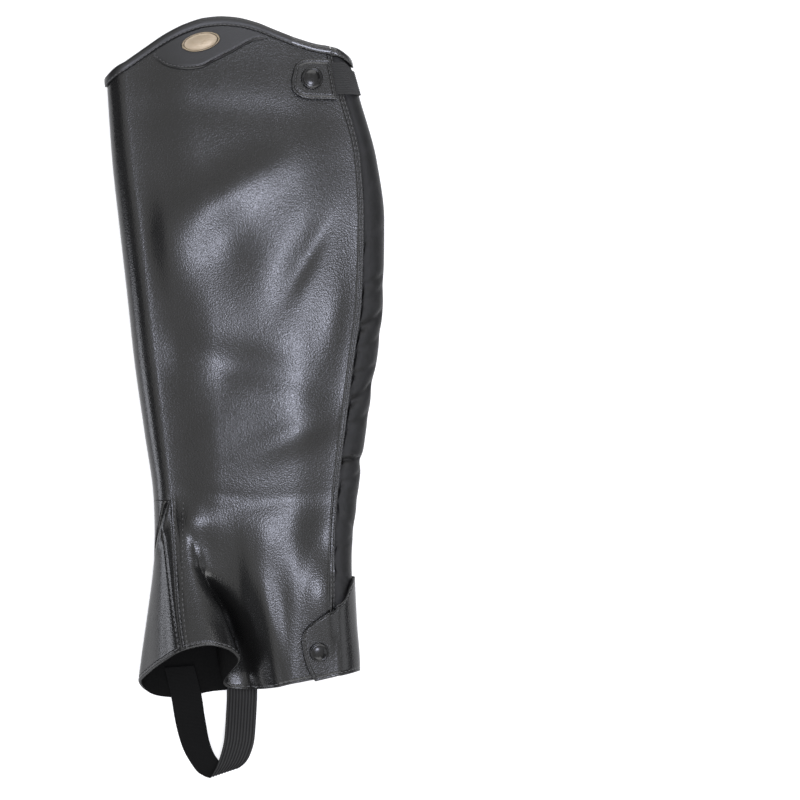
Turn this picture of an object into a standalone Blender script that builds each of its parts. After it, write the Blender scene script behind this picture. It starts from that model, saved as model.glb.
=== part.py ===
"""A leather half chap, laid on its side: a gaiter for the lower leg, with a stretch panel down the calf.

Every cloth piece is a wall at its own height above one base surface, the tube that the leather lies on.
Lengths are in millimetres until a mesh is written, in metres. X runs from the shin to the calf, Y up the
leg and Z up from the surface that the half chap lies on.
"""

import math
from collections import namedtuple

import bpy
import numpy as np
from mathutils import Matrix

MM = 0.001

# Thickness of each material and the gap that parted pieces keep
GAP = 0.3
LEATHER = 2.0
LINING_TO_BASE = 0.3
STRETCH_CLOTH = 1.2
TRIM_LEATHER = 1.3
TAB_LEATHER = 1.7
ELASTIC = 1.2

# Heights above the base surface at which the pieces lie
LEATHER_OUT = LINING_TO_BASE + LEATHER
ON_LEATHER = LEATHER_OUT + GAP

# The tube lies with its far layer flat on the floor, lifted by its bound edge at the top
FLOOR_LAYER = LEATHER_OUT
BINDING_LIFT = GAP + TRIM_LEATHER
EDGE_SHARE = 0.74
UNDER_ROLL = 8.0
CROWN_POWER = 1.4

# Sections of the tube from the hem to the top: the height up the leg, the front and back outlines, the
# back edge of the leather, the height of the upper layer, and how far the front and back rolls reach in.
Section = namedtuple("Section", "y front back seam height roll back_roll")
SECTIONS = (
    Section(-190, -61.4, 71.0, 56.5, 23.0, 9.1, 11.0),
    Section(-165, -60.2, 70.3, 56.0, 24.0, 9.1, 11.0),
    Section(-140, -58.6, 68.4, 55.4, 25.0, 9.1, 10.6),
    Section(-102, -56.8, 67.0, 56.2, 26.0, 9.1, 9.6),
    Section(-64, -58.0, 70.6, 58.2, 26.0, 9.1, 11.0),
    Section(-20, -64.0, 76.2, 63.0, 27.0, 11.0, 12.0),
    Section(24, -70.2, 83.0, 68.6, 28.0, 12.0, 13.0),
    Section(62, -74.3, 86.9, 73.4, 28.0, 12.0, 12.2),
    Section(112, -80.0, 87.6, 74.8, 27.0, 12.0, 11.5),
    Section(150, -84.2, 82.8, 72.6, 25.0, 11.0, 9.0),
    Section(190, -87.0, 71.8, 62.6, 22.5, 10.0, 8.2),
    Section(215, -88.3, 64.8, 55.0, 20.5, 10.0, 8.2),
    Section(242, -89.5, 58.5, 49.5, 19.0, 10.0, 7.8),
)

# The top edge of the cloth, with the high curve at the outer side of the knee
TopEdge = namedtuple("TopEdge", "x y")
TOP_EDGE = (
    TopEdge(-88, 197),
    TopEdge(-81, 206.5),
    TopEdge(-75, 210.5),
    TopEdge(-62, 219.5),
    TopEdge(-50, 227.5),
    TopEdge(-37, 234),
    TopEdge(-25, 237.6),
    TopEdge(-15, 238.5),
    TopEdge(-6, 237.9),
    TopEdge(7, 234.8),
    TopEdge(20, 229.6),
    TopEdge(32, 225),
    TopEdge(45, 221.3),
    TopEdge(57, 219.2),
    TopEdge(63, 215.4),
    TopEdge(68, 209),
)

# Where the leather parts at the ankle: the gusset runs from here down to the hem
ANKLE_Y = -64.0
RELAX_Y = 70.0
FLARE_POWER = 1.45
GUSSET_FLARE_POWER = 2.1

# The hem of the leather. Column runs 0 to 1 over the upper layer from back to front, 1 to 2 round the
# front gusset and 2 to 3 under the far layer. Share is how far forward the column crosses the ankle.
Hem = namedtuple("Hem", "column x y z share")
HEM = (
    Hem(0.00, 56.5, -175.0, 17.0, 0.00),
    Hem(0.10, 44.7, -177.2, 17.5, 0.13),
    Hem(0.20, 33.4, -179.8, 18.5, 0.27),
    Hem(0.29, 22.0, -181.6, 19.5, 0.42),
    Hem(0.36, 14.0, -182.8, 14.5, 0.54),
    Hem(0.42, 7.6, -183.5, 8.0, 0.63),
    Hem(0.50, -2.5, -184.0, 5.6, 0.72),
    Hem(0.57, -10.7, -183.2, 6.6, 0.785),
    Hem(0.62, -14.6, -179.5, 11.0, 0.825),
    Hem(0.68, -11.2, -172.0, 18.5, 0.855),
    Hem(0.74, -7.6, -164.4, 26.0, 0.88),
    Hem(0.81, -11.0, -157.8, 31.5, 0.905),
    Hem(0.89, -22.0, -154.9, 33.5, 0.94),
    Hem(1.00, -37.8, -158.1, 33.0, 1.0),
    Hem(1.18, -50.0, -165.1, 26.5, 1.0),
    Hem(1.34, -59.6, -172.4, 17.0, 1.0),
    Hem(1.50, -65.6, -179.0, 9.2, 1.0),
    Hem(1.75, -62.5, -185.2, 3.4, 1.0),
    Hem(2.00, -54.5, -188.6, FLOOR_LAYER, 1.0),
    Hem(2.15, -40.3, -189.6, FLOOR_LAYER, 1.0),
    Hem(2.35, -22.0, -185.6, FLOOR_LAYER, 1.0),
    Hem(2.65, 14.0, -182.8, FLOOR_LAYER, 1.0),
    Hem(3.00, 56.5, -175.6, FLOOR_LAYER, 1.0),
)
HEM_STILL, HEM_FREE = 0.16, 0.30
GUSSET_SIDE_GAP, GUSSET_HEAD_GAP = 0.014, 0.004

# The hem round the calf, straight from the leather's near back edge
CALF_HEM_X, CALF_HEM_Y, CALF_HEM_SLOPE = 56.0, -175.0, 0.22

# Soft troughs, and hills where the depth is negative, in the upper layer of leather
Crease = namedtuple("Crease", "x y angle length width depth")
CREASES = (
    Crease(40, 88, 62, 26, 5.0, 2.4),
    Crease(-8, 157, 8, 62, 13.0, 2.2),
    Crease(-26, 112, 34, 34, 17.0, -1.8),
    Crease(56, 52, 80, 30, 9.0, -1.6),
    Crease(12, -66, 9, 42, 6.5, 2.0),
    Crease(8, -84, 4, 34, 8.0, -1.5),
    Crease(30, -24, 24, 34, 10.0, -1.3),
    Crease(2, 20, -12, 52, 14.0, 1.6),
)

# Troughs round the stretch panel, where the loose cloth gathers
Gather = namedtuple("Gather", "y slant width depth")
GATHERS = (
    Gather(74, 0.6, 7.0, 1.0),
    Gather(44, 0.8, 6.0, 1.3),
    Gather(16, 0.9, 6.5, 1.5),
    Gather(-8, 0.7, 5.0, 1.0),
    Gather(-40, -0.1, 4.5, 2.0),
    Gather(-62, 0.5, 5.0, 1.0),
    Gather(-84, -0.6, 6.0, 0.9),
)

# The calf cloth laps inside the leather, and strips round the calf start just past the far leather's edge
STRETCH_LAP = 6.0
FAR_EDGE_TURN = 0.65

# Bound top edge
BINDING_WIDTH = 4.6
BINDING_EASE, BINDING_LIP = 0.55, 0.45
BINDING_END = 0.012

# The shaped panel under the binding at the knee, by its lower edge
CapEdge = namedtuple("CapEdge", "x y")
CAP_EDGE = (
    CapEdge(-58.5, 216.6),
    CapEdge(-54.0, 211.5),
    CapEdge(-45.6, 207.4),
    CapEdge(-36.0, 206.2),
    CapEdge(-27.2, 207.4),
    CapEdge(-18.5, 211.8),
    CapEdge(-6.3, 218.0),
    CapEdge(6.0, 224.4),
    CapEdge(15.0, 226.3),
)
CAP_END, CAP_THIN_END = 1.2, 0.5

# Oval metal plate on the cap panel
BADGE_X, BADGE_Y = -27.6, 223.6
BADGE_LONG, BADGE_SHORT = 24.6, 11.6
BADGE_TURN = math.radians(13)

# Outlines of the round metal pieces: the share of the radius and the height, from the foot to the middle
Ring = namedtuple("Ring", "share height")
BADGE_RINGS = (
    Ring(0.97, 0.0), Ring(1.0, 0.3), Ring(0.985, 1.4), Ring(0.9, 1.5), Ring(0.84, 0.9), Ring(0.4, 1.1),
)
SNAP_RINGS = (
    Ring(0.96, 0.0), Ring(1.0, 0.4), Ring(0.98, 1.0), Ring(0.86, 1.4), Ring(0.74, 1.15), Ring(0.5, 1.55),
    Ring(0.2, 1.75),
)

# How far strips round the calf clear the leather, and where past its edge they step down to the calf cloth
TAB_STAND_OFF, TOP_TAB_STAND_OFF = 1.6, 2.0
STEP_START, STEP_END = 1.5, 9.0

# Top tab with its elastic band
TOP_TAB_TIP_X, TOP_TAB_ROUND, TOP_TAB_TIP_HALF = 29.0, 11.0, 4.6
TOP_TAB_END_LOW, TOP_TAB_END_HIGH = 58.2, 53.4
TOP_TAB_LOW, TOP_TAB_HIGH, TOP_TAB_LEAN = 187.8, 213.0, 0.02
BAND_LOW, BAND_HIGH, BAND_END_X, BAND_BINDING_GAP = 190.8, 211.0, 48.0, 1.0
TOP_SNAP_X, TOP_SNAP_Y, TOP_SNAP_RADIUS = 41.6, 200.2, 7.0

# Bottom tab: its upper edge on the near side, from its free end to the calf, and its free end itself
TabEdge = namedtuple("TabEdge", "x y")
BOTTOM_TAB_EDGE = (
    TabEdge(34.0, -146.4),
    TabEdge(37.0, -144.6),
    TabEdge(49.0, -135.8),
    TabEdge(55.0, -132.0),
    TabEdge(62.0, -127.4),
    TabEdge(66.4, -118.5),
    TabEdge(70.0, -112.5),
)
TabEnd = namedtuple("TabEnd", "share x")
BOTTOM_TAB_END = (TabEnd(0, 40.2), TabEnd(0.36, 37.2), TabEnd(0.7, 34.4), TabEnd(0.92, 34.4), TabEnd(1, 35.8))
BOTTOM_TAB_FAR_RISE = 4.0
BOTTOM_SNAP_X, BOTTOM_SNAP_Y, BOTTOM_SNAP_RADIUS = 46.0, -159.1, 6.2
SOCKET_RADIUS, SOCKET_GAP = 4.5, 0.4

# The elastic strap that runs under the boot, from its end inside the far side to its end inside the near
# side: its centreline, how far its width is turned from +X, and how far its right edge is tilted up.
Strap = namedtuple("Strap", "x y z turn tilt")
STRAP_WIDTH = 19.2
STRAP = (
    Strap(-42.2, -170.0, 3.0, 4, 0),
    Strap(-39.6, -180.0, 3.0, 5, 0),
    Strap(-37.4, -190.0, 2.9, 6, 0),
    Strap(-35.6, -202.0, 2.0, 8, 5),
    Strap(-31.8, -218.3, 4.0, 11, 20),
    Strap(-27.1, -228.1, 6.0, 14, 28),
    Strap(-20.5, -235.0, 8.4, 17, 24),
    Strap(-14.8, -236.4, 10.6, 20, 12),
    Strap(-10.1, -232.5, 13.0, 12, 4),
    Strap(-6.3, -224.9, 14.4, 4, 0),
    Strap(-3.7, -214.2, 13.6, 0, 0),
    Strap(-2.8, -199.7, 9.2, 0, 0),
    Strap(-2.4, -188.0, 5.2, 0, 0),
    Strap(-2.4, -180.0, 4.2, 0, 0),
    Strap(-2.4, -170.0, 4.6, 0, 0),
)

# Mesh density
NEAR_COLUMNS, ROLL_COLUMNS, FAR_COLUMNS = 24, 8, 10
LOW_ROWS, HIGH_ROWS = 12, 24
CALF_COLUMNS, CALF_ROWS = 10, 46
CAP_COLUMNS, CAP_ROWS = 20, 6
TAB_STATIONS, TAB_ROWS = 12, 8
BAND_STATIONS, BAND_ROWS = 6, 4
BADGE_SIDES, SNAP_SIDES, SOCKET_SIDES = 32, 20, 12
STRAP_STATIONS = 44
SHARP_ANGLE = 50

# Step for slopes, and rounds for a height that depends on itself
STEP = 1e-3
SETTLING_STEPS = 6


def column_of(table, name):
    """One named column of a table as an array."""
    return np.array([getattr(row, name) for row in table], float)


def curve(knots, values, at):
    """Smooth curve through the knots that never overshoots them, by cubic pieces with harmonic slopes."""
    step = np.diff(knots)
    slope = np.diff(values) / step
    product = slope[1:] * slope[:-1]
    total = np.where(product > 0, slope[1:] + slope[:-1], 1.0)
    inner = np.where(product > 0, 2 * product / total, 0.0)
    tangent = np.concatenate([slope[:1], inner, slope[-1:]])
    at = np.clip(at, knots[0], knots[-1])
    piece = np.clip(np.searchsorted(knots, at, side="right") - 1, 0, len(step) - 1)
    width = step[piece]
    t = (at - knots[piece]) / width
    return (
        (2 * t**3 - 3 * t**2 + 1) * values[piece]
        + (t**3 - 2 * t**2 + t) * width * tangent[piece]
        + (3 * t**2 - 2 * t**3) * values[piece + 1]
        + (t**3 - t**2) * width * tangent[piece + 1]
    )


def read(table, key, name, at):
    """A table's named column as a smooth function of its key column."""
    return curve(column_of(table, key), column_of(table, name), at)


def ramp(value, start, end):
    """0 before start, 1 after end, and smooth between."""
    t = np.clip((value - start) / (end - start), 0, 1)
    return t * t * (3 - 2 * t)


def section_at(y):
    """Sizes of the base tube at a height up the leg, with heights measured to the base surface."""
    front = read(SECTIONS, "y", "front", y) + LEATHER_OUT
    top = read(SECTIONS, "y", "height", y) - LEATHER_OUT
    edge = FLOOR_LAYER + EDGE_SHARE * (top - FLOOR_LAYER)
    return {
        "front": front,
        "back": read(SECTIONS, "y", "back", y),
        "seam": read(SECTIONS, "y", "seam", y),
        "roll": read(SECTIONS, "y", "roll", y),
        "back_roll": read(SECTIONS, "y", "back_roll", y),
        "top": top,
        "edge": edge,
        "middle": (FLOOR_LAYER + edge) / 2,
        "rise": (edge - FLOOR_LAYER) / 2,
    }


def creases(x, y):
    """How far the troughs and hills lower the upper layer: a bell across each one and another along it."""
    sunk = np.zeros(np.broadcast(x, y).shape)
    for crease in CREASES:
        along_x, along_y = math.cos(math.radians(crease.angle)), math.sin(math.radians(crease.angle))
        along = (x - crease.x) * along_x + (y - crease.y) * along_y
        across = (y - crease.y) * along_x - (x - crease.x) * along_y
        sunk += crease.depth * np.exp(-((across / crease.width) ** 2) - (along / crease.length) ** 2)
    return sunk


def near_height(x, y):
    """Height of the base surface under the upper layer: a low arch that rolls over at both sides."""
    s = section_at(y)
    inside_front, inside_back = s["front"] + s["roll"], s["back"] - s["back_roll"]
    front_turn = np.clip((inside_front - x) / s["roll"], 0, 1)
    back_turn = np.clip((x - inside_back) / s["back_roll"], 0, 1)
    turn = np.maximum(front_turn, back_turn)
    across = np.clip((x - inside_front) / (inside_back - inside_front), 0, 1)
    crown = np.sin(math.pi * across) ** CROWN_POWER
    return (
        s["middle"]
        + s["rise"] * np.sqrt(1 - turn**2)
        + (s["top"] - s["edge"]) * crown
        - creases(x, y) * (1 - turn) * ramp(across, 0, 0.12) * ramp(1 - across, 0, 0.06)
    )


def top_edge(x):
    """Height up the leg of the cloth's top edge."""
    return read(TOP_EDGE, "x", "y", x)


def far_height(x, y):
    """Height of the base surface over the far layer, which the binding lifts off the floor at the top."""
    return FLOOR_LAYER + BINDING_LIFT * (1 - ramp(top_edge(x) - y, BINDING_WIDTH + 2, BINDING_WIDTH + 20))


def tube_column(column, y):
    """X and Z of a column of the leather's base surface, at a height up the leg."""
    s = section_at(y)
    start, end = s["front"] + s["roll"], s["front"] + UNDER_ROLL
    pull = 1 - ramp(y, ANKLE_Y, RELAX_Y)
    even = np.clip(column, 0, 1)
    share = even + pull * (read(HEM, "column", "share", even) - even)
    near_x = s["seam"] + (start - s["seam"]) * share
    angle = math.pi * np.clip(column - 1, 0, 1)
    reach = np.where(angle < math.pi / 2, s["roll"], UNDER_ROLL)
    roll_x = s["front"] + reach * (1 - np.sin(angle))
    far_x = end + (s["seam"] - end) * np.clip(column - 2, 0, 1)
    x = np.where(column <= 1, near_x, np.where(column <= 2, roll_x, far_x))
    roll_z = s["middle"] + s["rise"] * np.cos(angle)
    roll_z = roll_z + (far_height(roll_x, y) - FLOOR_LAYER) * (1 - np.cos(angle)) / 2
    z = np.where(column <= 1, near_height(near_x, y), np.where(column <= 2, roll_z, far_height(far_x, y)))
    return x, z


def column_top(column):
    """Height of the top edge on a column, found by stepping, because the column leans as it rises."""
    y = np.full(np.shape(column), float(BAND_HIGH))
    for _ in range(SETTLING_STEPS):
        y = top_edge(tube_column(column, y)[0])
    return y


def leather_base(column, level):
    """Base surface under the leather. Level 0 is the hem, 1 the ankle and 2 the top edge.

    Below the ankle each column swings from the tube to its own place on the flared hem."""
    down, up = np.clip(1 - level, 0, 1), np.clip(level - 1, 0, 1)
    hem_y = read(HEM, "column", "y", column)
    y = ANKLE_Y + up * (column_top(column) - ANKLE_Y) + down * (hem_y - ANKLE_Y)
    x, z = tube_column(column, y)
    loose = ramp(column, HEM_STILL, HEM_FREE) * ramp(3 - column, 0, 0.3)
    power = FLARE_POWER + (GUSSET_FLARE_POWER - FLARE_POWER) * ramp(column, 0.8, 1.3)
    swing = down**power * loose
    x = x + swing * (read(HEM, "column", "x", column) - x)
    z = z + swing * (read(HEM, "column", "z", column) - z)
    return np.stack([x, y, z], -1)


def legs_x(share, start, seam):
    """X along a flat leg of the calf cloth: to the leather's edge at half way, then on under the leather."""
    return start + (seam - start) * np.minimum(2 * share, 1) - STRETCH_LAP * np.maximum(2 * share - 1, 0)


def back_base(turn, y):
    """Base surface round the calf. Turn 0 to 1 is the far leg, 1 to 2 the roll and 2 to 3 the near leg.

    Each leg is at the leather's edge half way along, and its second half laps inside the leather."""
    s = section_at(y)
    angle = math.pi * (np.clip(turn - 1, 0, 1) - 0.5)
    reach = np.where(angle < 0, UNDER_ROLL, s["back_roll"])
    far, near = np.clip(1 - turn, 0, 1), np.clip(turn - 2, 0, 1)
    far_x = legs_x(far, s["back"] - UNDER_ROLL, s["seam"])
    roll_x = s["back"] - reach * (1 - np.cos(angle))
    near_x = legs_x(near, s["back"] - s["back_roll"], s["seam"])
    x = np.where(turn <= 1, far_x, np.where(turn <= 2, roll_x, near_x))
    roll_z = s["middle"] + s["rise"] * np.sin(angle)
    roll_z = roll_z + (far_height(roll_x, y) - FLOOR_LAYER) * (1 - np.sin(angle)) / 2
    z = np.where(turn <= 1, far_height(far_x, y), np.where(turn <= 2, roll_z, near_height(near_x, y)))
    return np.stack([x, y, z], -1)


def near_base(x, y):
    """Base surface of the upper layer at a place seen from above."""
    return np.stack([x, y, near_height(x, y)], -1)


def lifted(surface, first, second, low, high, height):
    """Points at a height above a surface of two parameters, along its outward normal."""
    (a_low, b_low), (a_high, b_high) = low, high
    a_plus, a_minus = np.minimum(first + STEP, a_high), np.maximum(first - STEP, a_low)
    b_plus, b_minus = np.minimum(second + STEP, b_high), np.maximum(second - STEP, b_low)
    along_first = surface(a_plus, second) - surface(a_minus, second)
    along_second = surface(first, b_plus) - surface(first, b_minus)
    normal = np.cross(along_second, along_first)
    normal /= np.linalg.norm(normal, axis=-1, keepdims=True)
    return surface(first, second) + normal * np.asarray(height, float)[..., None]


def on_leather(column, level, height):
    """Points above the leather's base surface."""
    return lifted(leather_base, column, level, (0, 0), (3, 2), height)


def on_back(turn, y, height):
    """Points above the base surface round the calf."""
    return lifted(back_base, turn, y, (0, -400), (3, 400), height)


def on_near(x, y, height):
    """Points above the upper layer. X is passed negated, so that the normal points up."""

    def flipped(minus_x, up):
        return near_base(-minus_x, up)

    return lifted(flipped, -x, y, (-400, -400), (400, 400), height)


def material(name, colour, roughness, metallic=0.0):
    """A plain finish: colour, roughness and metallic value."""
    made = bpy.data.materials.new(name)
    made.use_nodes = True
    shader = made.node_tree.nodes["Principled BSDF"]
    shader.inputs["Base Color"].default_value = (*colour, 1.0)
    shader.inputs["Roughness"].default_value = roughness
    shader.inputs["Metallic"].default_value = metallic
    return made


def new_object(name, points, faces, finish):
    """A named object from points in millimetres."""
    mesh = bpy.data.meshes.new(name)
    mesh.from_pydata((np.asarray(points, float).reshape(-1, 3) * MM).tolist(), [], faces)
    mesh.update()
    mesh.shade_smooth()
    mesh.set_sharp_from_angle(angle=math.radians(SHARP_ANGLE))
    made = bpy.data.objects.new(name, mesh)
    bpy.context.scene.collection.objects.link(made)
    made.data.materials.append(finish)
    return made


def wall(name, outer, inner, finish, keep=None):
    """A closed wall between two grids of points. Cells that keep leaves out make a notch in it."""
    rows, columns = outer.shape[:2]
    cells = np.ones((rows - 1, columns - 1), bool) if keep is None else keep
    index = np.arange(rows * columns).reshape(rows, columns)
    below = rows * columns
    faces, edges = [], {}
    for i, j in zip(*np.nonzero(cells)):
        ring = (index[i, j], index[i, j + 1], index[i + 1, j + 1], index[i + 1, j])
        faces.append(tuple(int(k) for k in ring))
        faces.append(tuple(int(k) + below for k in reversed(ring)))
        for a, b in zip(ring, ring[1:] + ring[:1]):
            if (b, a) in edges:
                del edges[(b, a)]
            else:
                edges[(a, b)] = True
    for a, b in edges:
        faces.append((int(b), int(a), int(a) + below, int(b) + below))
    used = sorted({k for face in faces for k in face})
    place = {k: n for n, k in enumerate(used)}
    points = np.concatenate([outer.reshape(-1, 3), inner.reshape(-1, 3)])[used]
    return new_object(name, points, [tuple(place[k] for k in face) for face in faces], finish)


def swept(name, rings, finish):
    """A closed bar from a row of profile rings, with a cap at each end."""
    stations, corners = rings.shape[:2]
    index = np.arange(stations * corners).reshape(stations, corners)
    faces = []
    for i in range(stations - 1):
        for j in range(corners):
            k = (j + 1) % corners
            faces.append((index[i, k], index[i, j], index[i + 1, j], index[i + 1, k]))
    faces.append(tuple(index[0]))
    faces.append(tuple(reversed(index[-1])))
    return new_object(name, rings, [tuple(int(k) for k in face) for face in faces], finish)


def grid(first, second):
    """Two parameters as matching grids, the first down the rows and the second along them."""
    return np.meshgrid(first, second, indexing="ij")


def leather_columns():
    """Columns of the leather from its near back edge, round the front and under to its far back edge."""
    near = np.linspace(0, 1, NEAR_COLUMNS + 1)
    roll = np.linspace(1, 2, ROLL_COLUMNS + 1)[1:]
    far = np.linspace(2, 3, FAR_COLUMNS + 1)[1:]
    return np.concatenate([near, roll, far])


def build_main_panel(leather):
    """The one piece of leather that wraps the shin, with a notch for the ankle gusset."""
    levels = np.concatenate([np.linspace(0, 1, LOW_ROWS + 1), np.linspace(1, 2, HIGH_ROWS + 1)[1:]])
    column, level = grid(leather_columns(), levels)
    keep = np.ones((column.shape[0] - 1, column.shape[1] - 1), bool)
    keep[NEAR_COLUMNS : NEAR_COLUMNS + ROLL_COLUMNS, :LOW_ROWS] = False
    outer = on_leather(column, level, np.full(column.shape, LEATHER_OUT))
    inner = on_leather(column, level, np.full(column.shape, LINING_TO_BASE))
    wall("main_panel", outer, inner, leather, keep)


def build_ankle_gusset(leather):
    """The wedge sewn into the notch at the front of the ankle."""
    columns = np.linspace(1 + GUSSET_SIDE_GAP, 2 - GUSSET_SIDE_GAP, ROLL_COLUMNS + 1)
    column, level = grid(columns, np.linspace(0, 1 - GUSSET_HEAD_GAP, LOW_ROWS + 1))
    outer = on_leather(column, level, np.full(column.shape, LEATHER_OUT))
    inner = on_leather(column, level, np.full(column.shape, LINING_TO_BASE))
    wall("ankle_gusset", outer, inner, leather)


def gathers(turn, y):
    """How far the gathers sink the stretch cloth: bells across slanting lines, none at the two seams."""
    sunk = np.zeros(turn.shape)
    for gather in GATHERS:
        line = gather.y + gather.slant * 8 * (turn - 2)
        sunk += gather.depth * np.exp(-(((y - line) / gather.width) ** 2))
    return sunk * ramp(turn, 0.9, 1.4) * ramp(3 - turn, 0.35, 0.7)


def calf_hem(x):
    """Height of the hem round the calf."""
    return CALF_HEM_Y + (x - CALF_HEM_X) * CALF_HEM_SLOPE


def back_line(line, turn, first_guess):
    """Height at each station round the calf of an edge that is given from X, found by stepping."""
    y = np.full(np.shape(turn), float(first_guess))
    for _ in range(SETTLING_STEPS):
        y = line(back_base(turn, y)[..., 0])
    return y


def calf_turns(start, legs):
    """Stations from the far side to the end of the roll round the calf, closest in the roll."""
    return np.concatenate([np.linspace(start, 1, legs + 1), np.linspace(1, 2, CALF_COLUMNS + 1)[1:]])


def build_stretch_panel(stretch):
    """The elastic cloth down the calf, lapped inside both edges of the leather."""
    turn, up = grid(np.append(calf_turns(0, 2), (2.5, 3)), np.linspace(0, 1, CALF_ROWS + 1))
    low, high = back_line(calf_hem, turn, CALF_HEM_Y), back_line(top_edge, turn, BAND_HIGH)
    y = low + (high - low) * up
    sunk = gathers(turn, y)
    wall("stretch_panel", on_back(turn, y, -sunk), on_back(turn, y, -sunk - STRETCH_CLOTH), stretch)


def edge_frame(edge, below):
    """Outward normals and down directions along an edge, from points at two heights and a row further down."""
    base, raised = edge
    normal = raised - base
    normal /= np.linalg.norm(normal, axis=-1, keepdims=True)
    down = below - base
    down -= (down * normal).sum(-1, keepdims=True) * normal
    down /= np.linalg.norm(down, axis=-1, keepdims=True)
    return normal, down


def binding_profile(inside, outside):
    """Section of a strip folded over an edge: pairs of height above the base and distance down from the edge."""
    lip, over = BINDING_LIP, BINDING_LIP + TRIM_LEATHER
    return (
        (outside + TRIM_LEATHER, BINDING_WIDTH),
        (outside, BINDING_WIDTH),
        (outside, -lip),
        (inside, -lip),
        (inside, BINDING_WIDTH),
        (inside - TRIM_LEATHER, BINDING_WIDTH),
        (inside - TRIM_LEATHER, -over * 0.5),
        (inside - TRIM_LEATHER * 0.4, -over),
        (outside + TRIM_LEATHER * 0.4, -over),
        (outside + TRIM_LEATHER, -over * 0.5),
    )


def build_binding(name, edge, below, inside, outside, finish):
    """A strip folded over an edge: the profile carried along it. Inside and outside give its depth all along."""
    normal, down = edge_frame(edge, below)
    rings = [
        edge[0] + normal * height[:, None] + down * distance
        for height, distance in binding_profile(inside, outside)
    ]
    swept(name, np.stack(rings, 1), finish)


def build_top_binding(trim):
    """The binding on the leather's top edge."""
    column = np.clip(leather_columns(), BINDING_END, 3 - BINDING_END)
    level = np.full(column.shape, 2.0)
    edge = (on_leather(column, level, 0 * column), on_leather(column, level, 0 * column + 1))
    over_lap = 1 - ramp(column, 0.085, 0.14) * ramp(3 - column, 0.085, 0.14)
    build_binding(
        "top_binding", edge, on_leather(column, level - 0.015, 0 * column),
        -over_lap * (STRETCH_CLOTH + BINDING_EASE), 0 * column + ON_LEATHER, trim,
    )


def build_back_binding(trim):
    """The binding on the top edge of the stretch panel, between the leather's two edges."""
    turn = np.linspace(1, 2, CALF_COLUMNS + 1)
    y = back_line(top_edge, turn, BAND_HIGH)
    edge = (on_back(turn, y, 0 * turn), on_back(turn, y, 0 * turn + 1))
    build_binding(
        "back_binding", edge, on_back(turn, y - BINDING_WIDTH, 0 * turn),
        0 * turn - STRETCH_CLOTH - BINDING_EASE, 0 * turn + BINDING_EASE, trim,
    )


def build_cap_panel(trim):
    """The shaped panel sewn under the binding at the knee."""
    columns = np.linspace(CAP_EDGE[-1].x - CAP_END, CAP_EDGE[0].x + CAP_END, CAP_COLUMNS + 1)
    x, across = grid(columns, np.linspace(0, 1, CAP_ROWS + 1))
    lower = read(CAP_EDGE, "x", "y", x)
    slope = (top_edge(x + 1) - top_edge(x - 1)) / 2
    upper = top_edge(x) - (BINDING_WIDTH + GAP) * np.sqrt(1 + slope**2)
    y = lower + np.maximum(upper - lower, CAP_THIN_END) * across
    low = np.full(x.shape, ON_LEATHER)
    wall("cap_panel", on_near(x, y, low + TRIM_LEATHER), on_near(x, y, low), trim)


def stud(name, centre, size, turn, rings, foot, finish, sides):
    """A round or oval piece on the upper layer, closed flat below and above.

    Foot gives the height of its underside over the base surface from X and Y."""
    angle = np.linspace(0, 2 * math.pi, sides, endpoint=False)
    layers = []
    for ring in rings:
        u, v = ring.share * size[0] / 2 * np.cos(angle), ring.share * size[1] / 2 * np.sin(angle)
        x = centre[0] + u * math.cos(turn) - v * math.sin(turn)
        y = centre[1] + u * math.sin(turn) + v * math.cos(turn)
        layers.append(on_near(x, y, foot(x, y) + ring.height))
    swept(name, np.stack(layers)[::-1], finish)


def build_badge(metal):
    """The oval plate, blank inside its raised rim."""
    stud(
        "badge", (BADGE_X, BADGE_Y), (BADGE_LONG, BADGE_SHORT), BADGE_TURN, BADGE_RINGS,
        level_foot(ON_LEATHER + TRIM_LEATHER + GAP), metal, BADGE_SIDES,
    )


def level_foot(height):
    """A foot that keeps one height over the base surface."""
    return lambda x, y: np.full(x.shape, height)


def step_off(x, y, over):
    """Height of a strip's inner face: clear of the leather, then down to the calf cloth past its edge."""
    past = x - read(SECTIONS, "y", "seam", y)
    return GAP + (LEATHER_OUT + over) * (1 - ramp(past, STEP_START, STEP_END))


def build_top_tab(leather):
    """The leather end of the upper fastening, with a round tip."""
    along, across = grid(np.linspace(0, 1, TAB_STATIONS + 1), np.linspace(-1, 1, TAB_ROWS + 1))
    end = TOP_TAB_END_LOW + (TOP_TAB_END_HIGH - TOP_TAB_END_LOW) * (across + 1) / 2
    x = end + (TOP_TAB_TIP_X - end) * np.sin(along * math.pi / 2)
    into_tip = np.clip((TOP_TAB_TIP_X + TOP_TAB_ROUND - x) / TOP_TAB_ROUND, 0, 1)
    full = (TOP_TAB_HIGH - TOP_TAB_LOW) / 2
    half = TOP_TAB_TIP_HALF + (full - TOP_TAB_TIP_HALF) * np.sqrt(1 - into_tip**2)
    y = (TOP_TAB_LOW + TOP_TAB_HIGH) / 2 - (x - TOP_TAB_TIP_X) * TOP_TAB_LEAN + across * half
    low = np.full(x.shape, ON_LEATHER + TOP_TAB_STAND_OFF)
    wall("top_tab", on_near(x, y, low + TAB_LEATHER), on_near(x, y, low), leather)


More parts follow.
